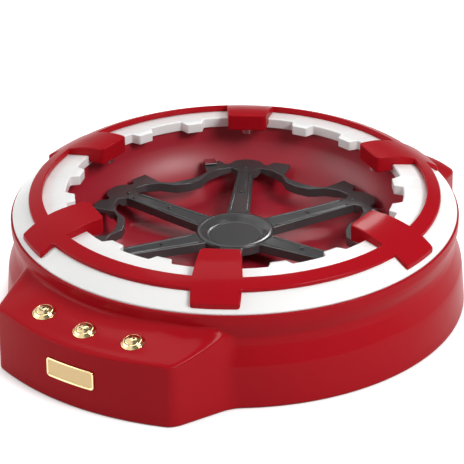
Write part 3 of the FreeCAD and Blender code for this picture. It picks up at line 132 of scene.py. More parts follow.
class SpinArtSizes(PropertyGroup):
    """Sizes of the moulded pieces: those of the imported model, and the lean of the pods' sides."""

    wall: length("Wall", "Wall of the moulded housing", 2.6)
    base_radius: length("Base radius", "Drum at its lower edge", 166.8)
    shoulder_radius: length("Shoulder radius", "Drum under the shoulder", 164.8)
    shoulder_step: length("Shoulder step", "How far the shoulder comes in", 2.4)
    waist_radius: length("Waist radius", "Drum at its narrowest", 158.8)
    band_radius: length("Band radius", "Drum under the rim", 161.6)
    pod_radius: length("Pod radius", "Front face of both pods", 197.0)
    pod_half_width: length("Pod half width", "Front corner of a pod", 75.6)
    pod_root_half_width: length("Pod root half width", "Pod where it ends inside the drum", 103.0)
    pod_root_depth: length("Pod root depth", "Where the pod's sides end inside the drum", 116.0)
    pod_side_lean: length("Pod side lean", "How far a side's root leans in over the pod's height", 10.0)
    pod_front_height: length("Pod front height", "Top edge of a pod's front face", 47.0)
    pod_slope: FloatProperty(
        name="Pod slope", description="Fall of a pod's top face", default=math.radians(11.3), unit="ROTATION")
    edge_round: length("Edge round", "Rounding of the pod's edges", 4.0)
    lip_radius: length("Lip radius", "Inner lip of the white ring", 121.6)
    tooth_depth: length("Tooth depth", "How far the lip's teeth stand inwards", 6.6)
    button_circle: length("Button circle", "Circle of the three buttons about the spin axis", 179.0)
    button_spacing: length("Button spacing", "From button to button across the pod", 38.0)


class SpinArtColours(PropertyGroup):
    """Colours of the finishes, as sRGB hex values."""

    red: colour("Red", "Moulded housing and lamp ring", "#A8121D")
    bowl_red: colour("Bowl red", "Splash bowl", "#A2182A")
    white: colour("White", "Rim ring", "#F6F6F5")
    dark_grey: colour("Dark grey", "Spinner", "#434344")
    black: colour("Black", "Base plate and battery box", "#1B1B1D")
    gold: colour("Gold", "Buttons and their bezels", "#EFD6A2")
    plate: colour("Plate", "Blank plate", "#CDB283")
    floor: colour("Floor", "Table under the machine", "#D6D6D5")


def sizes():
    """The sizes in millimetres, by name."""
    held = bpy.context.scene.spin_art_sizes
    return {
        name: getattr(held, name) if name == "pod_slope" else getattr(held, name) / MM
        for name in SpinArtSizes.__annotations__
    }


def linear(hex_value, alpha=1.0):
    """An sRGB hex value as linear red, green, blue and alpha."""
    channels = np.array([int(hex_value[i:i + 2], 16) for i in (1, 3, 5)]) / 255
    low = channels / 12.92
    high = ((channels + 0.055) / 1.055) ** 2.4
    return (*np.where(channels <= 0.04045, low, high).tolist(), alpha)


# Geometry

def add_mesh(name, vertices, faces, smooth=True):
    """An object at the origin from vertices in millimetres and faces as rows of indices."""
    mesh = bpy.data.meshes.new(name)
    mesh.from_pydata((np.asarray(vertices) * MM).tolist(), [], faces)
    mesh.validate()
    mesh.polygons.foreach_set("use_smooth", np.full(len(mesh.polygons), smooth))
    mesh.update()
    piece = bpy.data.objects.new(name, mesh)
    bpy.context.scene.collection.objects.link(piece)
    return piece


def grid_faces(rows, columns, wrap_rows, wrap_columns):
    """Quads of a grid whose points are numbered row by row, closed in either direction."""
    i = np.arange(rows if wrap_rows else rows - 1)[:, None]
    j = np.arange(columns if wrap_columns else columns - 1)[None, :]
    ahead_i = (i + 1) % rows
    ahead_j = (j + 1) % columns
    corners = [i * columns + j, i * columns + ahead_j, ahead_i * columns + ahead_j, ahead_i * columns + j]
    return np.stack([np.broadcast_to(c, (i.size, j.size)) for c in corners], -1).reshape(-1, 4)


def grid_piece(name, points, wrap_rows=True, wrap_columns=True):
    """A surface from a grid of points (rows, columns, 3) in millimetres."""
    rows, columns = points.shape[:2]
    faces = grid_faces(rows, columns, wrap_rows, wrap_columns)
    return add_mesh(name, points.reshape(-1, 3), faces.tolist())


def rounded(corners, radii, steps=5, closed=True):
    """A path through corner points with each corner replaced by a circular arc.

    At each corner the arc of the given radius touches both sides, at the distance radius / tan(half the
    inner angle) from the corner, or less where a side is too short for that.
    """
    corners = np.asarray(corners, float)
    radii = np.broadcast_to(np.asarray(radii, float), len(corners))
    path = []
    for index, (corner, radius) in enumerate(zip(corners, radii)):
        if not closed and index in (0, len(corners) - 1):
            path.append(corner[None])
            continue
        before = corners[index - 1] - corner
        after = corners[(index + 1) % len(corners)] - corner
        reach = [np.linalg.norm(before), np.linalg.norm(after)]
        before = before / reach[0]
        after = after / reach[1]
        half = 0.5 * math.acos(np.clip(before @ after, -1, 1))
        if radius <= 0 or abs(half - math.pi / 2) < 1e-3:
            path.append(corner[None])
            continue
        cut = min(radius / math.tan(half), 0.48 * min(reach))
        t = np.linspace(0, 1, steps)[:, None]
        start = corner + before * cut
        end = corner + after * cut
        bend = math.sin(half)
        weight = 2 * t * (1 - t) * bend
        total = (1 - t) ** 2 + weight + t ** 2
        path.append(((1 - t) ** 2 * start + weight * corner + t ** 2 * end) / total)
    return np.concatenate(path)


def revolved(name, profile, segments, frame_matrix=None):
    """A closed solid of revolution: every profile point (radius, height) runs round the axis as a circle.

    The profile is a closed loop, or starts and ends on the axis. It runs with the solid on its left.
    """
    profile = np.asarray(profile, float)
    on_axis = profile[0, 0] < 1e-6 and profile[-1, 0] < 1e-6
    angle = np.linspace(0, 2 * math.pi, segments, endpoint=False)
    middle = profile[1:-1] if on_axis else profile
    points = np.stack([
        middle[:, :1] * np.cos(angle),
        middle[:, :1] * np.sin(angle),
        np.broadcast_to(middle[:, 1:], (len(middle), segments)),
    ], -1)
    vertices = points.reshape(-1, 3)
    faces = grid_faces(len(middle), segments, not on_axis, True).tolist()
    if on_axis:
        first = len(vertices)
        vertices = np.concatenate([vertices, [[0, 0, profile[0, 1]], [0, 0, profile[-1, 1]]]])
        j = np.arange(segments)
        ahead = (j + 1) % segments
        last_row = (len(middle) - 1) * segments
        faces += np.stack([np.full(segments, first), ahead, j], -1).tolist()
        faces += np.stack([np.full(segments, first + 1), last_row + j, last_row + ahead], -1).tolist()
    if frame_matrix is not None:
        vertices = vertices @ frame_matrix[:3, :3].T + frame_matrix[:3, 3]
    return add_mesh(name, vertices, faces)


def joined_mesh(name, pieces):
    """One object from several, with their meshes one after the other."""
    vertices = []
    faces = []
    for piece in pieces:
        base = len(vertices)
        vertices += [vertex.co / MM for vertex in piece.data.vertices]
        faces += [[base + index for index in polygon.vertices] for polygon in piece.data.polygons]
        bpy.data.objects.remove(piece)
    return add_mesh(name, vertices, faces)


def smooth_min(a, b, reach):
    """The smaller of two values, with the step between them rounded over a reach."""
    share = np.clip(1 - np.abs(a - b) / reach, 0, None)
    return np.minimum(a, b) - share ** 2 * reach / 4


def smooth_max(a, b, reach):
    """The larger of two values, with the step between them rounded over a reach."""
    return -smooth_min(-a, -b, reach)


def drum_profile(s):
    """The drum's outside as (radius, height) from its lower edge to its lip, edges rounded."""
    corners = [
        (s["base_radius"], 0.5),
        (s["shoulder_radius"] + 0.1, 27.0),
        (s["shoulder_radius"] - 0.5, 31.2),
        (s["shoulder_radius"] - s["shoulder_step"], 36.4),
        (s["waist_radius"] + 0.5, 45.5),
        (s["waist_radius"], 51.0),
        (s["band_radius"] - 1.0, 57.0),
        (s["band_radius"], 62.0),
        (s["band_radius"], 69.0),
    ]
    return rounded(corners, [0, 9, 8, 9, 16, 9, 9, 16, 0], steps=7, closed=False)


def housing_radius(s, angle, height, inset):
    """Distance from the spin axis to the housing's outside, for arrays of angles and heights.

    It is the larger, softly blended, of the drum's radius at that height and the pod's radius, which is the
    least of three: the front arc, the side and the sloped top, each where the ray meets it. The side is a
    straight line in plan whose root leans inwards with height. The top is a plane between the buttons and
    turns into a cone round the spin axis towards the sides. A second, wider blend of drum and top fills the
    valley between them, inside the pod's front and sides.
    """
    profile = drum_profile(s)
    drum = np.interp(height, profile[:, 1], profile[:, 0]) - inset
    across = np.abs(np.cos(angle))
    ahead = np.abs(np.sin(angle))
    corner_x = s["pod_half_width"]
    corner_y = math.sqrt(s["pod_radius"] ** 2 - corner_x ** 2)
    lean = s["pod_side_lean"] * height / s["pod_front_height"]
    run_x = s["pod_root_half_width"] - lean - corner_x
    run_y = s["pod_root_depth"] - corner_y
    run = np.hypot(run_x, run_y)
    offset = (corner_y * run_x - corner_x * run_y) / run - inset
    side = offset * run / (ahead * run_x - across * run_y)
    drop = (s["pod_front_height"] - inset - height) / math.tan(s["pod_slope"])
    cone = s["pod_radius"] + drop
    plane = cone / np.maximum(ahead, 0.2)
    reach = s["button_spacing"] + BUTTON_BEZEL
    share = np.clip((s["button_circle"] * across - reach) / (corner_x - reach), 0, 1)
    slope = plane + (cone - plane) * share * share * (3 - 2 * share)
    front = s["pod_radius"] - inset
    soft = s["edge_round"]
    pod = smooth_min(np.broadcast_to(front, side.shape), side, 1.4 * soft)
    drum = np.broadcast_to(drum, pod.shape)
    crisp = smooth_max(drum, smooth_min(pod, slope, 2.5 * soft), 1.2 * soft)
    rise = smooth_max(drum, slope, 8 * soft)
    return np.maximum(crisp, smooth_min(pod, rise, 2.5 * soft))


def housing_angles(s):
    """Angles round the spin axis: even steps, with finer ones at the pods' corners and at their roots."""
    even = np.linspace(0, 2 * math.pi, 480, endpoint=False)
    fine = [even]
    corner = math.acos(s["pod_half_width"] / s["pod_radius"])
    # The root itself lies inside the drum, so the pod comes out of it nearer to its corner.
    root_reach = np.hypot(s["pod_root_half_width"], s["pod_root_depth"])
    seen_root = math.acos(s["pod_root_half_width"] / root_reach) + 0.13
    for middle, spread, count in ((corner, 0.04, 25), (seen_root, 0.05, 13)):
        for turn in (middle, math.pi - middle, math.pi + middle, 2 * math.pi - middle):
            fine.append(turn + np.linspace(-spread, spread, count))
    return np.unique(np.round(np.concatenate(fine), 5))


def slope_frame(s, x, y):
    """Matrix of a spot on the front pod's slope: origin on the face, Z along its outward normal."""
    lean = s["pod_slope"]
    height = s["pod_front_height"] + (s["pod_radius"] + y) * math.tan(lean)
    matrix = np.eye(4)
    matrix[:3, :3] = [
        [1, 0, 0],
        [0, math.cos(lean), -math.sin(lean)],
        [0, math.sin(lean), math.cos(lean)],
    ]
    matrix[:3, 3] = (x, y, height)
    return matrix


def button_frames(s):
    """The three buttons' frames, from left to right."""
    frames = []
    for step in (-1, 0, 1):
        x = step * s["button_spacing"]
        frames.append(slope_frame(s, x, -math.sqrt(s["button_circle"] ** 2 - x ** 2)))
    return frames


def boolean_cut(piece, cutters):
    """Cuts closed meshes out of a piece and keeps the result as its mesh."""
    for cutter in cutters:
        modifier = piece.modifiers.new("cut", "BOOLEAN")
        modifier.operation = "DIFFERENCE"
        modifier.solver = "EXACT"
        modifier.object = cutter
    graph = bpy.context.evaluated_depsgraph_get()
    result = bpy.data.meshes.new_from_object(piece.evaluated_get(graph))
    piece.modifiers.clear()
    piece.data = result
    for cutter in cutters:
        bpy.data.objects.remove(cutter)


def bar(name, path, width, height, steps=9):
    """A low rounded rib carried along a path, sunk a little into what it stands on.

    Its section is half a superellipse: width / 2 times |cos|^power across, height times sin^power up.
    """
    path = np.asarray(path, float)
    along = np.gradient(path, axis=0)
    along /= np.linalg.norm(along, axis=1)[:, None]
    side = np.cross([0, 0, 1], along)
    side /= np.linalg.norm(side, axis=1)[:, None]
    turn = np.linspace(0, math.pi, steps)
    power = 0.7
    sunk = 0.4
    across = np.sign(np.cos(turn)) * np.abs(np.cos(turn)) ** power * width / 2
    up = np.sin(turn) ** power * height
    loop_across = np.concatenate([across, [-width / 2, width / 2]])
    loop_up = np.concatenate([up, [-sunk, -sunk]])
    grid = path[:, None] + side[:, None] * loop_across[None, :, None]
    grid[..., 2] += loop_up[None]
    first, last = (
        np.broadcast_to(row.mean(1, keepdims=True), row.shape) for row in (grid[:1], grid[-1:]))
    grid = np.concatenate([first, grid, last])
    return grid_piece(name, grid[:, ::-1], wrap_rows=False)


def merged(piece, distance=1e-6):
    """Merges points that lie together, and turns all faces outwards."""
    work = bmesh.new()
    work.from_mesh(piece.data)
    bmesh.ops.remove_doubles(work, verts=work.verts, dist=distance)
    bmesh.ops.recalc_face_normals(work, faces=work.faces)
    work.to_mesh(piece.data)
    work.free()
    piece.data.polygons.foreach_set("use_smooth", np.full(len(piece.data.polygons), True))
    return piece


# Materials

def new_material(name):
    """A material with an empty node tree."""
    material = bpy.data.materials.new(name)
    material.use_nodes = True
    material.node_tree.nodes.clear()
    return material


def add_node(tree, kind, links=(), **settings):
    """Adds a node with its settings and links.

    A setting that starts with in_ goes to the input of that name, any other one to the node itself. A link
    is an output socket with the name or number of the input it goes to.
    """
    node = tree.nodes.new(kind)
    for key, value in settings.items():
        if key.startswith("in_"):
            node.inputs[key[3:].replace("_", " ")].default_value = value
        else:
            setattr(node, key, value)
    for socket, name in links:
        tree.links.new(socket, node.inputs[name])
    return node


def finish_material(tree, shader, bump=None):
    """Links a shader to the material's output, and a bump to the shader where there is one."""
    add_node(tree, "ShaderNodeOutputMaterial", [(shader.outputs[0], "Surface")])
    if bump is not None:
        tree.links.new(bump.outputs["Normal"], shader.inputs["Normal"])


def moulded_plastic(name, colour_hex, roughness, grain_mm=0.5, grain=0.04, cloud=0.05, coat=0.0, level=0.5):
    """Injection-moulded plastic: even colour with a faint flow cloud, and fine orange peel in its gloss."""
    tree = new_material(name).node_tree
    place = add_node(tree, "ShaderNodeTexCoord").outputs["Object"]
    flow = add_node(tree, "ShaderNodeTexNoise", [(place, "Vector")], in_Scale=1 / (60 * MM), in_Detail=2.0)
    base = np.array(linear(colour_hex))
    dark = (*(base[:3] * (1 - cloud)), 1)
    pale = (*np.minimum(base[:3] * (1 + cloud), 1), 1)
    tint = add_node(tree, "ShaderNodeMix", [(flow.outputs["Fac"], "Factor")], data_type="RGBA")
    tint.inputs[6].default_value = dark
    tint.inputs[7].default_value = pale
    skin = add_node(
        tree, "ShaderNodeTexNoise", [(place, "Vector")], in_Scale=1 / (grain_mm * MM), in_Detail=3.0)
    rough = add_node(
        tree, "ShaderNodeMapRange", [(skin.outputs["Fac"], "Value")],
        in_To_Min=roughness * 0.85, in_To_Max=roughness * 1.15)
    bump = add_node(
        tree, "ShaderNodeBump", [(skin.outputs["Fac"], "Height")], in_Strength=grain, in_Distance=0.05 * MM)
    shader = add_node(
        tree, "ShaderNodeBsdfPrincipled",
        [(tint.outputs[2], "Base Color"), (rough.outputs["Result"], "Roughness")],
        in_IOR=1.54, in_Coat_Weight=coat, in_Coat_Roughness=0.12, in_Specular_IOR_Level=level)
    finish_material(tree, shader, bump)


def plated_metal(name, colour_hex, roughness, ripple_mm=6.0, ripple=0.02):
    """Vacuum-plated or polished metal: a mirror skin with a slow ripple from the surface under it."""
    tree = new_material(name).node_tree
    place = add_node(tree, "ShaderNodeTexCoord").outputs["Object"]
    wave = add_node(
        tree, "ShaderNodeTexNoise", [(place, "Vector")], in_Scale=1 / (ripple_mm * MM), in_Detail=1.0)
    bump = add_node(
        tree, "ShaderNodeBump", [(wave.outputs["Fac"], "Height")], in_Strength=ripple, in_Distance=0.2 * MM)
    spread = add_node(
        tree, "ShaderNodeMapRange", [(wave.outputs["Fac"], "Value")],
        in_To_Min=roughness * 0.8, in_To_Max=roughness * 1.3)
    shader = add_node(
        tree, "ShaderNodeBsdfPrincipled", [(spread.outputs["Result"], "Roughness")],
        in_Metallic=1.0, in_Base_Color=linear(colour_hex))
    finish_material(tree, shader, bump)


def brushed_metal(name, colour_hex, roughness, pitch_mm=0.35, stretch=(0.03, 1.0, 1.0), metallic=1.0):
    """Brushed, rolled or turned metal: fine parallel scratches, as noise stretched along one direction.

    Real scratches lie a few hundredths of a millimetre apart and would not show, so these are coarser.
    """
    tree = new_material(name).node_tree
    place = add_node(tree, "ShaderNodeTexCoord").outputs["Object"]
    turn = add_node(tree, "ShaderNodeMapping", [(place, "Vector")], in_Scale=stretch)
    lines = add_node(
        tree, "ShaderNodeTexNoise", [(turn.outputs["Vector"], "Vector")],
        in_Scale=1 / (pitch_mm * MM), in_Detail=4.0)
    spread = add_node(
        tree, "ShaderNodeMapRange", [(lines.outputs["Fac"], "Value")],
        in_To_Min=roughness * 0.6, in_To_Max=roughness * 1.4)
    bump = add_node(
        tree, "ShaderNodeBump", [(lines.outputs["Fac"], "Height")], in_Strength=0.12, in_Distance=0.03 * MM)
    shader = add_node(
        tree, "ShaderNodeBsdfPrincipled", [(spread.outputs["Result"], "Roughness")],
        in_Metallic=metallic, in_Base_Color=linear(colour_hex))
    finish_material(tree, shader, bump)


def clear_plastic(name):
    """Clear polycarbonate: a thin moulded window with faint flow lines in its gloss."""
    tree = new_material(name).node_tree
    place = add_node(tree, "ShaderNodeTexCoord").outputs["Object"]
    flow = add_node(tree, "ShaderNodeTexNoise", [(place, "Vector")], in_Scale=1 / (3 * MM), in_Detail=1.0)
    bump = add_node(
        tree, "ShaderNodeBump", [(flow.outputs["Fac"], "Height")], in_Strength=0.05, in_Distance=0.05 * MM)
    shader = add_node(
        tree, "ShaderNodeBsdfPrincipled", in_Base_Color=linear("#F2F6FA"), in_Roughness=0.05, in_IOR=1.58,
        in_Transmission_Weight=1.0)
    finish_material(tree, shader, bump)


def build_materials():
    """Makes every finish of the machine."""
    c = bpy.context.scene.spin_art_colours
    # Polished mould: a deep even red under a thin clear gloss.
    moulded_plastic("gloss_red_ABS", c.red, 0.3, grain=0.03, coat=0.1, level=0.02)
    # Finely blasted mould: a wide soft sheen in the bowl.
    moulded_plastic("satin_red_ABS", c.bowl_red, 0.42, grain=0.05)
    # Polished mould: an even white with small highlights.
    moulded_plastic("gloss_white_ABS", c.white, 0.24, cloud=0.015)
    # Fine texture under a firm gloss: long highlights along the edges.
    moulded_plastic("satin_grey_ABS", c.dark_grey, 0.2, grain=0.05, grain_mm=0.7)
    # Textured mould: a dull satin black.
    moulded_plastic("black_ABS", c.black, 0.45, grain=0.15, grain_mm=0.6)
    # No pigment: waxy and off-white.
    moulded_plastic("natural_acetal", "#E4E2D8", 0.4, cloud=0.03)
    # Soft and open surface: matt, with hardly a highlight.
    moulded_plastic("black_rubber", "#161616", 0.7, grain=0.3, grain_mm=0.8, level=0.35)
    # Lacquer over copper and glass fibre: dark green with a low gloss.
    moulded_plastic("solder_mask_green", "#1E5B36", 0.3, grain=0.1, grain_mm=1.2)
    # Stretched film: smooth dark gloss.
    moulded_plastic("shrink_sleeve_grey", "#3A3F49", 0.25, grain=0.04, grain_mm=2.0)
    # Cast lens of an unlit lamp: milky white with a hard gloss.
    moulded_plastic("milky_epoxy", "#F1EFE6", 0.15, cloud=0.03)
    # Metal film on a smooth cap: a warm mirror.
    plated_metal("vacuum_plated_gold", c.gold, 0.07)
    # Chrome over bright nickel: a cold mirror.
    plated_metal("bright_chrome_plate", "#E3E4E6", 0.07)
    # Buffed edge: a warm mirror, a little blurred.
    plated_metal("polished_pale_gold", "#E9D3A0", 0.14)
    # Pad-printed ink: flat and nearly black.
    moulded_plastic("black_pad_print", "#14110D", 0.4, grain=0.1, grain_mm=0.8, level=0.3)
    # Dyed oxide on rolled sheet: pale gold with a broad soft sheen.
    brushed_metal("anodised_pale_gold", c.plate, 0.42, metallic=0.7)
    # Zinc over drawn steel: mid grey with fine lines.
    brushed_metal("zinc_plated_steel", "#B4B6BA", 0.3, stretch=(1.0, 0.08, 1.0))
    # Brass bar: yellow with fine lines along its axis.
    brushed_metal("turned_brass", "#C8A552", 0.28, stretch=(1.0, 1.0, 0.1))
    # Moulded window: clear, with a hard gloss.
    clear_plastic("clear_polycarbonate")


def dress(piece, finish):
    """Gives a piece one finish."""
    piece.data.materials.clear()
    piece.data.materials.append(bpy.data.materials[finish])


def dress_node(name, finish, edge=0.0):
    """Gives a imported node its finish, merged faces and softly rounded edges, edge millimetres wide."""
    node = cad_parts[name]
    dress(node, finish)
    mesh = node.data
    if "custom_normal" in mesh.attributes:
        mesh.attributes.remove(mesh.attributes["custom_normal"])
    mesh.polygons.foreach_set("use_smooth", np.full(len(mesh.polygons), True))
    weld = node.modifiers.new("weld", "WELD")
    weld.merge_threshold = 2e-6
    flatten = node.modifiers.new("flatten", "DECIMATE")
    flatten.decimate_type = "DISSOLVE"
    flatten.angle_limit = math.radians(0.8)
    bevel = node.modifiers.new("edges", "BEVEL")
    bevel.width = max(edge, 0.08) * MM
    bevel.segments = 3 if edge > 0.3 else 1
    bevel.limit_method = "ANGLE"
    bevel.angle_limit = math.radians(32)
    bevel.use_clamp_overlap = False
    bevel.harden_normals = True


def add_piece(piece, finish, body, slot, *nodes):
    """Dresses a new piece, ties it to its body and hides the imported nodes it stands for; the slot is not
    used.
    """
    dress(piece, finish)
    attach(piece, body)
    if nodes:
        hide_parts(*nodes)


# Operators

class SPINART_OT_materials(Operator):
    """Makes every finish of the machine"""

    bl_idname = "spinart.materials"
    bl_label = "Finishes"

    def execute(self, context):
        build_materials()
        return {"FINISHED"}


class SPINART_OT_housing(Operator):
    """Builds the moulded housing with its two pods"""

    bl_idname = "spinart.housing"
    bl_label = "Housing"

    def execute(self, context):
        s = sizes()
        angle = housing_angles(s)[None, :]
        columns = angle.size
        # Heights of the rows, closer together where the wall bends.
        outer = np.concatenate([
            [0.5, 0.8, 1.6], np.linspace(4, 26, 7), np.linspace(27, 38, 16), np.linspace(39, 44, 6),
            np.linspace(44.4, 58, 54), np.linspace(59, 68.4, 9), [68.8, 69.0],
        ])[:, None]
        radius = housing_radius(s, angle, outer, 0)
        # The lower edge and the lip are rounded off.
        for row, step in ((0, 0.5), (1, 0.12), (-2, 0.15), (-1, 0.6)):
            radius[row] -= step
        inner = np.array([66.4, 60, 52, 46, 40, 34, 26, 12, 0.5])[:, None]
        inner_radius = housing_radius(s, angle, np.minimum(inner, 66), s["wall"])
        lip = s["band_radius"] - 4.4
        ledge = np.array([[lip, 69.0], [lip, 66.4], [lip - 3.8, 66.4], [lip - 3.8, 63.8]])
        ledge_radius = np.broadcast_to(ledge[:, :1], (4, columns))
        radius = np.concatenate([radius, ledge_radius, inner_radius[1:]])
        height = np.concatenate([outer, ledge[:, 1:], inner[1:]])
        height = np.broadcast_to(height, radius.shape)
        grid = np.stack([radius * np.cos(angle), radius * np.sin(angle), height], -1)
        piece = grid_piece("housing_shell", grid)
        hole = [(0, -8), (BUTTON_HOLE, -8), (BUTTON_HOLE, 4), (0, 4)]
        boolean_cut(piece, [revolved("cutter", hole, 64, matrix) for matrix in button_frames(s)])
        add_piece(piece, "gloss_red_ABS", "body", "red_body", "outer_housing")
        return {"FINISHED"}


class SPINART_OT_bowl(Operator):
    """Builds the splash bowl"""

    bl_idname = "spinart.bowl"
    bl_label = "Splash bowl"

    def execute(self, context):
        sweep = np.linspace(0, 1, 28)[:, None]
        low = np.array([BOWL_FLOOR_RADIUS, BOWL_FLOOR])
        knee = np.array(BOWL_KNEE)
        centre = arc_centre(low, knee, BOWL_ARC)
        inside = arc_points(centre, low, knee, sweep)
        outside = arc_points(centre, low, knee, sweep, BOWL_WALL)
        profile = np.concatenate([
            rounded([(BOWL_COLLAR, 37.6), (5.8, 37.6), (5.8, 31.8)], 0.4, closed=False),
            outside,
            [(126.8, 76.7), (137.1, 76.7), (153.7, 66.4), (156.9, 66.4), (156.9, 68.6), (138.2, 78.9)],
            rounded([(130.0, 78.9), (124.6, 78.9), (123.2, 70.0)], 0.8, closed=False),
            inside[::-1],
            rounded(
                [(12.0, BOWL_FLOOR), (BOWL_COLLAR, BOWL_FLOOR), (BOWL_COLLAR, 37.0)], 1.2, closed=False),
        ])
        piece = revolved("splash_bowl_shell", profile, 256)
        add_piece(piece, "satin_red_ABS", "body", "red_bowl", "splash_bowl")
        return {"FINISHED"}


def arc_centre(start, end, radius):
    """Centre of the arc from start to end that has its centre above the chord's left."""
    chord = end - start
    half = np.linalg.norm(chord) / 2
    normal = np.array([-chord[1], chord[0]]) / (2 * half)
    return (start + end) / 2 + normal * math.sqrt(radius ** 2 - half ** 2)


def arc_points(centre, start, end, share, offset=0.0):
    """Points on the arc about a centre from start to end, moved outwards by an offset."""
    first = math.atan2(*(start - centre)[::-1])
    last = math.atan2(*(end - centre)[::-1])
    turn = first + (last - first) * share
    reach = np.linalg.norm(start - centre) + offset
    return centre + reach * np.concatenate([np.cos(turn), np.sin(turn)], 1)


def tooth_wave(angle, s):
    """How far the lip stands inwards, from 0 to 1: two flat-topped teeth in each bay.

    Each tooth is a trapezoid of the distance along the lip from the tooth's middle, 1 at the top and 0 past
    the root, with both corners rounded by a smooth step.
    """
    local = (angle % BAY_ANGLE) - BAY_ANGLE / 2
    wave = np.zeros_like(local)
    for middle in TOOTH_TURNS:
        distance = np.abs(local - math.radians(middle)) * (s["lip_radius"] - s["tooth_depth"] / 2)
        share = np.clip((TOOTH_HALF_WIDTH - distance) / TOOTH_FLANK, 0, 1)
        wave = np.maximum(wave, share * share * (3 - 2 * share))
    return wave


class SPINART_OT_rim_ring(Operator):
    """Builds the white rim ring with its toothed inner lip"""

    bl_idname = "spinart.rim_ring"
    bl_label = "Rim ring"

    def execute(self, context):
        s = sizes()
        lip = s["lip_radius"]
        corners = [
            (160.2, 69.0), (160.2, 70.6), (148.5, 79.8), (138.4, 82.4), (lip + 1.0, 85.0), (lip, 84.4),
            (lip, 77.4), (lip + 2.4, 77.4), (lip + 2.4, 82.4), (138.0, 80.0), (147.3, 77.4), (157.3, 70.0),
            (157.3, 69.0),
        ]
        radii = [0, 1.0, 5, 30, 0.5, 0.6, 0.4, 0, 0, 0, 0, 0, 0]
        profile = rounded(corners, radii, steps=6)
        angle = np.linspace(0, 2 * math.pi, 1440, endpoint=False)
        share = np.clip((lip + 2.5 - profile[:, 0]) / 2.4, 0, 1)[:, None]
        radius = profile[:, :1] - share * s["tooth_depth"] * tooth_wave(angle, s)[None]
        height = np.broadcast_to(profile[:, 1:], radius.shape)
        grid = np.stack([radius * np.cos(angle), radius * np.sin(angle), height], -1)
        piece = grid_piece("rim_ring_shell", grid[:, ::-1])
        add_piece(merged(piece), "gloss_white_ABS", "body", "white_body", "rim_ring")
        return {"FINISHED"}


class SPINART_OT_lamp_ring(Operator):
    """Dresses the red ring with its hooded blocks, and the lamps under them"""

    bl_idname = "spinart.lamp_ring"
    bl_label = "Lamp ring"

    def execute(self, context):
        dress_node("lamp_ring", "gloss_red_ABS", 0.9)
        dress_node("lamp_reflectors", "bright_chrome_plate", 0.15)
        dress_node("lamp_lenses", "clear_polycarbonate")
        dress_node("lamp_leds", "milky_epoxy")
        return {"FINISHED"}


def spoke_height(radius, neck):
    """Height of a spoke's top: a straight rise from the hub to the scalloped band's neck."""
    return HUB_TOP + SPOKE_RISE * (radius - HUB_RADIUS) / (neck - HUB_RADIUS)


class SPINART_OT_spinner(Operator):
    """Dresses the spinner and its clips, and adds the coved rim of its dish and the ridges of its spokes"""

    bl_idname = "spinart.spinner"
    bl_label = "Spinner"

    def execute(self, context):
        dress_node("spinner", "satin_grey_ABS", 0.5)
        dress_node("paper_clips", "bright_chrome_plate", 0.2)
        floor = HUB_TOP - DISH_DEPTH
        corners = [
            (18.0, floor + 0.05), (20.6, floor + 0.15), (23.6, HUB_TOP + 0.1), (25.0, HUB_TOP + 0.95),
            (26.6, HUB_TOP + 0.7), (28.2, HUB_TOP + 0.05), (27.0, HUB_TOP - 0.6), (24.5, HUB_TOP - 0.6),
            (20.0, floor - 0.4), (18.0, floor - 0.3),
        ]
        cove = rounded(corners, [0, 2.6, 3.0, 0.9, 1.0, 0, 0, 0, 0, 0], steps=9)
        rim = revolved("spinner_dish_rim", cove, 192)
        add_piece(merged(rim), "satin_grey_ABS", "turntable", "dark_grey")
        neck = np.abs(np.array(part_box("spinner"))[:, :2]).max() / MM - BAND_WIDTH
        reach = np.linspace(HUB_RADIUS + 1.5, neck - 4.0, 24)
        ridges = []
        for turn in np.arange(BAYS) * BAY_ANGLE:
            along = np.array([math.cos(turn), math.sin(turn)])
            across = np.array([-along[1], along[0]])
            for side in (-1, 1):
                offset = side * np.interp(reach, [HUB_RADIUS, neck], [6.2, 3.6])
                flat = reach[:, None] * along + offset[:, None] * across
                path = np.column_stack([flat, spoke_height(reach, neck)])
                ridges.append(bar("ridge", path, 1.5, 0.75))
        ridges = merged(joined_mesh("spoke_ridges", ridges))
        add_piece(ridges, "satin_grey_ABS", "turntable", "dark_grey")
        return {"FINISHED"}


def dome_height(x, y):
    """Height of a button's dome over a spot: a sphere through its rim and its crown."""
    crown = BUTTON_TOP - BUTTON_SIDE
    ball = (BUTTON_RADIUS ** 2 + crown ** 2) / (2 * crown)
    return BUTTON_TOP - ball + np.sqrt(ball ** 2 - x ** 2 - y ** 2)


def printed_patch(outline, matrix):
    """A thin raised patch on a button's dome: its outline in plan, lifted to just over the dome."""
    outline = np.asarray(outline, float)
    count = len(outline)
    rim = dome_height(outline[:, 0], outline[:, 1])
    low = np.column_stack([outline, rim - SIGN_SUNK])
    high = np.column_stack([outline, rim + SIGN_RAISED])
    points = np.concatenate([low, high]) @ matrix[:3, :3].T + matrix[:3, 3]
    j = np.arange(count)
    ahead = (j + 1) % count
    faces = np.stack([j, ahead, count + ahead, count + j], -1).tolist()
    faces += [j[::-1].tolist(), (count + j).tolist()]
    return add_mesh("patch", points, faces, smooth=False)


def ring_points(radius, count, x=0.0, y=0.0):
    """Points in equal steps round a circle."""
    turn = np.linspace(0, 2 * math.pi, count, endpoint=False)
    return np.column_stack([x + radius * np.cos(turn), y + radius * np.sin(turn)])


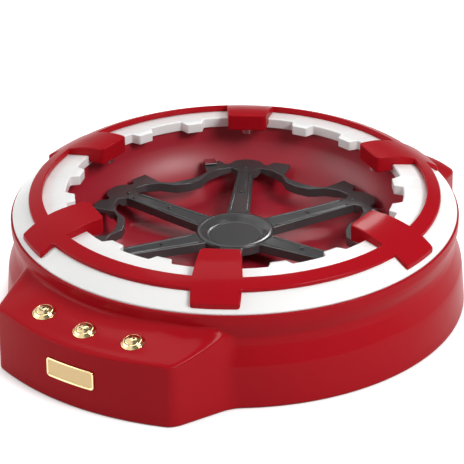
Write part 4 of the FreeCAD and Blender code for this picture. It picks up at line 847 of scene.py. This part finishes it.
def button_marks(name):
    """Outlines of a button's generic sign: a dot in a broken ring, a ring of dots, or two arrow heads."""
    if name == "left":
        arcs = []
        for start in (-35, 85, 205):
            turn = np.radians(np.linspace(start, start + 95, 9))
            outer = 3.0 * np.column_stack([np.cos(turn), np.sin(turn)])
            arcs.append(np.concatenate([outer, outer[::-1] * 0.8]))
        return arcs + [ring_points(1.1, 12)]
    if name == "middle":
        spots = ring_points(2.9, 8)
        return [ring_points(0.6, 8, x, y) for x, y in spots] + [ring_points(0.75, 10)]
    return [ring_points(1.5, 3, x) for x in (-1.6, 1.4)]


class SPINART_OT_buttons(Operator):
    """Builds the three plated buttons with their signs, and their stepped bezels"""

    bl_idname = "spinart.buttons"
    bl_label = "Buttons"

    def execute(self, context):
        s = sizes()
        names = ("left", "middle", "right")
        bezels = []
        steps = [
            (5.7, -2.6), (7.0, -2.6), (7.0, 0.0), (BUTTON_BEZEL, 0.0), (BUTTON_BEZEL, 0.75), (7.6, 1.1),
            (7.2, 1.9), (6.5, 2.6), (5.7, 2.8),
        ]
        ring = rounded(steps, [0.2, 0.2, 0, 0.2, 0.35, 0.3, 0.5, 0.5, 0.15], steps=7)
        skirt = rounded(
            [(0, -6.4), (1.8, -6.4), (1.8, -4.1), (6.5, -4.1), (6.5, -2.9), (BUTTON_RADIUS, -2.9),
             (BUTTON_RADIUS, BUTTON_SIDE), (5.0, dome_height(5.0, 0.0))],
            [0, 0.2, 0, 0.3, 0.3, 0, 0.7, 0], steps=7, closed=False)
        reach = np.linspace(4.8, 0, 14)
        dome = np.column_stack([reach, dome_height(reach, 0.0)])
        for name, matrix in zip(names, button_frames(s)):
            bezels.append(revolved("bezel", ring, 96, matrix))
            piece = revolved(f"button_cap_{name}", np.concatenate([skirt, dome]), 96, matrix)
            add_piece(piece, "vacuum_plated_gold", f"{name}_button", "gold_chrome", f"button_{name}")
            marks = [printed_patch(outline, matrix) for outline in button_marks(name)]
            sign = joined_mesh(f"button_sign_{name}", marks)
            add_piece(sign, "black_pad_print", f"{name}_button", "black_body")
        bezels = joined_mesh("button_bezel_rings", bezels)
        add_piece(bezels, "vacuum_plated_gold", "body", "gold_chrome", "button_bezels")
        return {"FINISHED"}


def plate_loop(s, edge, rise):
    """The plate's rounded outline moved inwards by an edge distance and laid on the pod's curve.

    The outline is a rectangle with circular corners. A point's sideways distance becomes an angle round the
    spin axis, and its rise is added to the pod's radius.
    """
    half_width = PLATE_HALF_WIDTH - edge
    half_height = PLATE_HALF_HEIGHT - edge
    corner = max(PLATE_CORNER - 0.6 * edge, 0.3)
    flat = rounded(
        [(-half_width, -half_height), (half_width, -half_height), (half_width, half_height),
         (-half_width, half_height)], corner, steps=8)
    ends = np.concatenate([flat, flat[:1]])
    share = np.linspace(0, 1, 5)[:-1, None]
    flat = np.concatenate([start + (end - start) * share for start, end in zip(ends, ends[1:])])
    turn = flat[:, 0] / s["pod_radius"] - math.pi / 2
    radius = s["pod_radius"] + rise
    return np.stack([radius * np.cos(turn), radius * np.sin(turn), PLATE_MIDDLE + flat[:, 1]], -1)


class SPINART_OT_name_plate(Operator):
    """Builds the blank plate on the pod's front: a matt field inside a polished rim"""

    bl_idname = "spinart.name_plate"
    bl_label = "Blank plate"

    def execute(self, context):
        s = sizes()
        section = [
            (0, 0), (0, 1.0), (0.15, 1.3), (0.5, 1.48), (0.9, 1.48), (1.3, 1.3), (1.55, 0.95), (1.55, 0)]
        grid = np.stack([plate_loop(s, edge, rise) for edge, rise in section])
        rim = grid_piece("plate_rim", grid)
        add_piece(merged(rim), "polished_pale_gold", "body", "pale_gold", "name_plate")
        # The loops of both faces shrink to a line along the middle, where their points are merged.
        front = [(edge, 0.98) for edge in (1.7, 2.6, 3.8, 5.0, 6.2, PLATE_CENTRE_LINE)]
        back = [(edge, 0.1) for edge in (PLATE_CENTRE_LINE, 4.0, 1.4)]
        grid = np.stack([plate_loop(s, edge, rise) for edge, rise in back + [(1.4, 0.9)] + front])
        field = grid_piece("blank_plate", grid, wrap_rows=False)
        add_piece(merged(field, 1e-5), "anodised_pale_gold", "body", "pale_gold")
        return {"FINISHED"}


class SPINART_OT_mechanism(Operator):
    """Dresses the drive, the base, the switch board and the battery bay"""

    bl_idname = "spinart.mechanism"
    bl_label = "Mechanism"

    def execute(self, context):
        plan = {
            "black_ABS": ("base_plate", "battery_box", "battery_door", "motor_end_cap", "tact_switches"),
            "black_rubber": ("rubber_feet",),
            "zinc_plated_steel": (
                "base_screws", "rim_screws", "drive_plate", "drive_plate_screws", "motor_can", "motor_screws",
                "motor_shaft", "spindle", "retaining_ring", "board_screws", "battery_door_screw"),
            "turned_brass": ("motor_pinion", "spindle_bushes"),
            "natural_acetal": ("drive_gear", "thrust_washer"),
            "solder_mask_green": ("switch_board",),
            "shrink_sleeve_grey": ("battery_cells",),
            "bright_chrome_plate": ("battery_springs", "battery_contacts"),
        }
        for finish, nodes in plan.items():
            for name in nodes:
                dress_node(name, finish, 0.15)
        return {"FINISHED"}


class SPINART_OT_stage(Operator):
    """Builds the floor, the studio light, the world and the camera"""

    bl_idname = "spinart.stage"
    bl_label = "Stage"

    def execute(self, context):
        self.add_floor(context)
        for name, (direction, distance, size, power) in SOFTBOXES.items():
            self.add_light(name, direction, distance, size, power)
        self.add_world(context)
        self.add_camera(context)
        context.scene.view_settings.view_transform = "Standard"
        return {"FINISHED"}

    def add_floor(self, context):
        """Pale laminate that glows for the eye and for reflections; close under a piece ambient occlusion
        dims the glow into a painted contact shadow.
        """
        step = np.linspace(-0.5, 0.5, 3) * FLOOR_SIDE
        x, y = np.meshgrid(step, step)
        floor = grid_piece("table", np.stack([x, y, np.zeros_like(x)], -1), False, False)
        material = new_material("pale_table_laminate")
        tree = material.node_tree
        diffuse = add_node(
            tree, "ShaderNodeBsdfDiffuse", in_Color=linear(context.scene.spin_art_colours.floor))
        # Ambient occlusion dims the glow near the machine: painted shade under its edges.
        near = add_node(tree, "ShaderNodeAmbientOcclusion", in_Distance=PAINTED_CONTACT_SHADOW, samples=8)
        path = add_node(tree, "ShaderNodeLightPath")
        shown = add_node(
            tree, "ShaderNodeMath", [(path.outputs["Is Camera Ray"], 0), (path.outputs["Is Glossy Ray"], 1)],
            operation="MAXIMUM")
        shown = add_node(
            tree, "ShaderNodeMath", [(shown.outputs[0], 0), (path.outputs["Is Transmission Ray"], 1)],
            operation="MAXIMUM")
        open_share = add_node(
            tree, "ShaderNodeMath", [(shown.outputs[0], 0), (near.outputs["AO"], 1)], operation="MULTIPLY")
        level = add_node(tree, "ShaderNodeMath", [(open_share.outputs[0], 0)], operation="MULTIPLY")
        level.inputs[1].default_value = FLOOR_GLOW
        glow = add_node(tree, "ShaderNodeEmission", [(level.outputs[0], "Strength")], in_Color=(1, 1, 1, 1))
        total = add_node(tree, "ShaderNodeAddShader", [(diffuse.outputs[0], 0), (glow.outputs[0], 1)])
        finish_material(tree, total)
        floor.data.materials.append(material)

    def add_world(self, context):
        """A white surround for the eye and for glass, and a dim even sky for the light itself.

        Reflections see the sky fall from pale at the horizon to dark higher up: the strength is a ramp of the
        direction's height. Towards the camera's left a pale wall stands in it: its strength is a smooth ramp
        of the direction's part along that side.
        """
        world = bpy.data.worlds.new("studio")
        context.scene.world = world
        world.use_nodes = True
        tree = world.node_tree
        tree.nodes.clear()
        path = add_node(tree, "ShaderNodeLightPath")
        ray = add_node(tree, "ShaderNodeTexCoord").outputs["Generated"]
        height = add_node(tree, "ShaderNodeSeparateXYZ", [(ray, "Vector")])
        ramp = add_node(tree, "ShaderNodeValToRGB", [(height.outputs["Z"], "Fac")])
        stops = ramp.color_ramp.elements
        stops[0].position = 0.0
        stops[0].color = (0.75, 0.75, 0.75, 1)
        stops[1].position = 0.9
        stops[1].color = (0.22, 0.22, 0.22, 1)
        middle = stops.new(0.3)
        middle.color = (0.05, 0.05, 0.05, 1)
        side = math.radians(CAMERA_TURN + 180)
        along = add_node(tree, "ShaderNodeVectorMath", [(ray, 0)], operation="DOT_PRODUCT")
        along.inputs[1].default_value = (math.cos(side), math.sin(side), 0)
        wall = add_node(
            tree, "ShaderNodeMapRange", [(along.outputs["Value"], "Value")], clamp=True,
            interpolation_type="SMOOTHSTEP", in_From_Min=-0.05, in_From_Max=0.35)
        brighter = add_node(
            tree, "ShaderNodeVectorMath", [(ramp.outputs["Color"], 0), (wall.outputs["Result"], 1)],
            operation="MAXIMUM")
        shiny = add_node(tree, "ShaderNodeBackground", [(brighter.outputs["Vector"], "Color")])
        even = add_node(tree, "ShaderNodeBackground", in_Color=(1, 1, 1, 1), in_Strength=EVEN_SKY)
        white = add_node(tree, "ShaderNodeBackground", in_Color=(1, 1, 1, 1), in_Strength=1.0)
        see_through = add_node(
            tree, "ShaderNodeMath",
            [(path.outputs["Is Camera Ray"], 0), (path.outputs["Is Transmission Ray"], 1)],
            operation="MAXIMUM")
        lit = add_node(
            tree, "ShaderNodeMixShader",
            [(path.outputs["Is Glossy Ray"], 0), (even.outputs[0], 1), (shiny.outputs[0], 2)])
        seen = add_node(
            tree, "ShaderNodeMixShader",
            [(see_through.outputs[0], 0), (lit.outputs[0], 1), (white.outputs[0], 2)])
        add_node(tree, "ShaderNodeOutputWorld", [(seen.outputs[0], "Surface")])

    def direction(self, azimuth, elevation):
        """Unit vector towards an azimuth and an elevation in radians."""
        level = math.cos(elevation)
        return Vector((level * math.cos(azimuth), level * math.sin(azimuth), math.sin(elevation)))

    def add_light(self, name, direction, distance, size, power):
        """A rectangular softbox that faces the machine from an azimuth and elevation seen by the camera."""
        away = self.direction(math.radians(direction[0] + CAMERA_TURN), math.radians(direction[1]))
        data = bpy.data.lights.new(name, "AREA")
        data.shape = "RECTANGLE"
        data.size, data.size_y = size
        data.energy = power
        lamp = bpy.data.objects.new(name, data)
        bpy.context.scene.collection.objects.link(lamp)
        lamp.location = Vector((0, 0, LIGHT_AIM_HEIGHT)) + away * distance
        lamp.rotation_euler = away.to_track_quat("Z", "Y").to_euler()

    def add_camera(self, context):
        """The camera stands where a fit to the round rims puts it."""
        azimuth = math.radians(CAMERA_TURN - 90)
        right = Vector((-math.sin(azimuth), math.cos(azimuth), 0))
        back = self.direction(azimuth, math.radians(CAMERA_ELEVATION))
        data = bpy.data.cameras.new("camera")
        data.sensor_width = 36
        data.lens = CAMERA_LENS
        data.shift_x, data.shift_y = CAMERA_SHIFT
        data.clip_start = 0.1
        camera = bpy.data.objects.new("camera", data)
        context.scene.collection.objects.link(camera)
        aim = Vector((0, 0, CAMERA_AIM_HEIGHT)) + right * CAMERA_AIM_RIGHT
        camera.location = aim + back * CAMERA_DISTANCE
        turn = back.to_track_quat("Z", "Y").to_matrix().to_4x4()
        roll = Matrix.Rotation(math.radians(CAMERA_ROLL), 4, "Z")
        camera.rotation_euler = (turn @ roll).to_euler()
        context.scene.camera = camera


class SPINART_PT_panel(Panel):
    """Lists the operators, sizes and colours in the sidebar"""

    bl_label = "Spin Art Machine"
    bl_idname = "SPINART_PT_panel"
    bl_space_type = "VIEW_3D"
    bl_region_type = "UI"
    bl_category = "Spin Art"

    def draw(self, context):
        for operator in OPERATORS:
            self.layout.operator(operator.bl_idname)
        for held in (context.scene.spin_art_sizes, context.scene.spin_art_colours):
            box = self.layout.box()
            for name in type(held).__annotations__:
                box.prop(held, name)


OPERATORS = (
    SPINART_OT_materials, SPINART_OT_stage, SPINART_OT_housing, SPINART_OT_bowl, SPINART_OT_rim_ring,
    SPINART_OT_lamp_ring, SPINART_OT_spinner, SPINART_OT_buttons, SPINART_OT_name_plate, SPINART_OT_mechanism,
)
CLASSES = (SpinArtSizes, SpinArtColours, *OPERATORS, SPINART_PT_panel)


def register():
    """Registers the classes and hangs the sizes and colours on the scene."""
    for item in CLASSES:
        bpy.utils.register_class(item)
    bpy.types.Scene.spin_art_sizes = PointerProperty(type=SpinArtSizes)
    bpy.types.Scene.spin_art_colours = PointerProperty(type=SpinArtColours)


def unregister():
    """Takes back what register did."""
    del bpy.types.Scene.spin_art_colours
    del bpy.types.Scene.spin_art_sizes
    for item in reversed(CLASSES):
        bpy.utils.unregister_class(item)


def main():
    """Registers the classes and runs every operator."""
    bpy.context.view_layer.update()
    register()
    for operator in OPERATORS:
        group, name = operator.bl_idname.split(".")
        getattr(getattr(bpy.ops, group), name)()


if __name__ == "__main__":
    main()
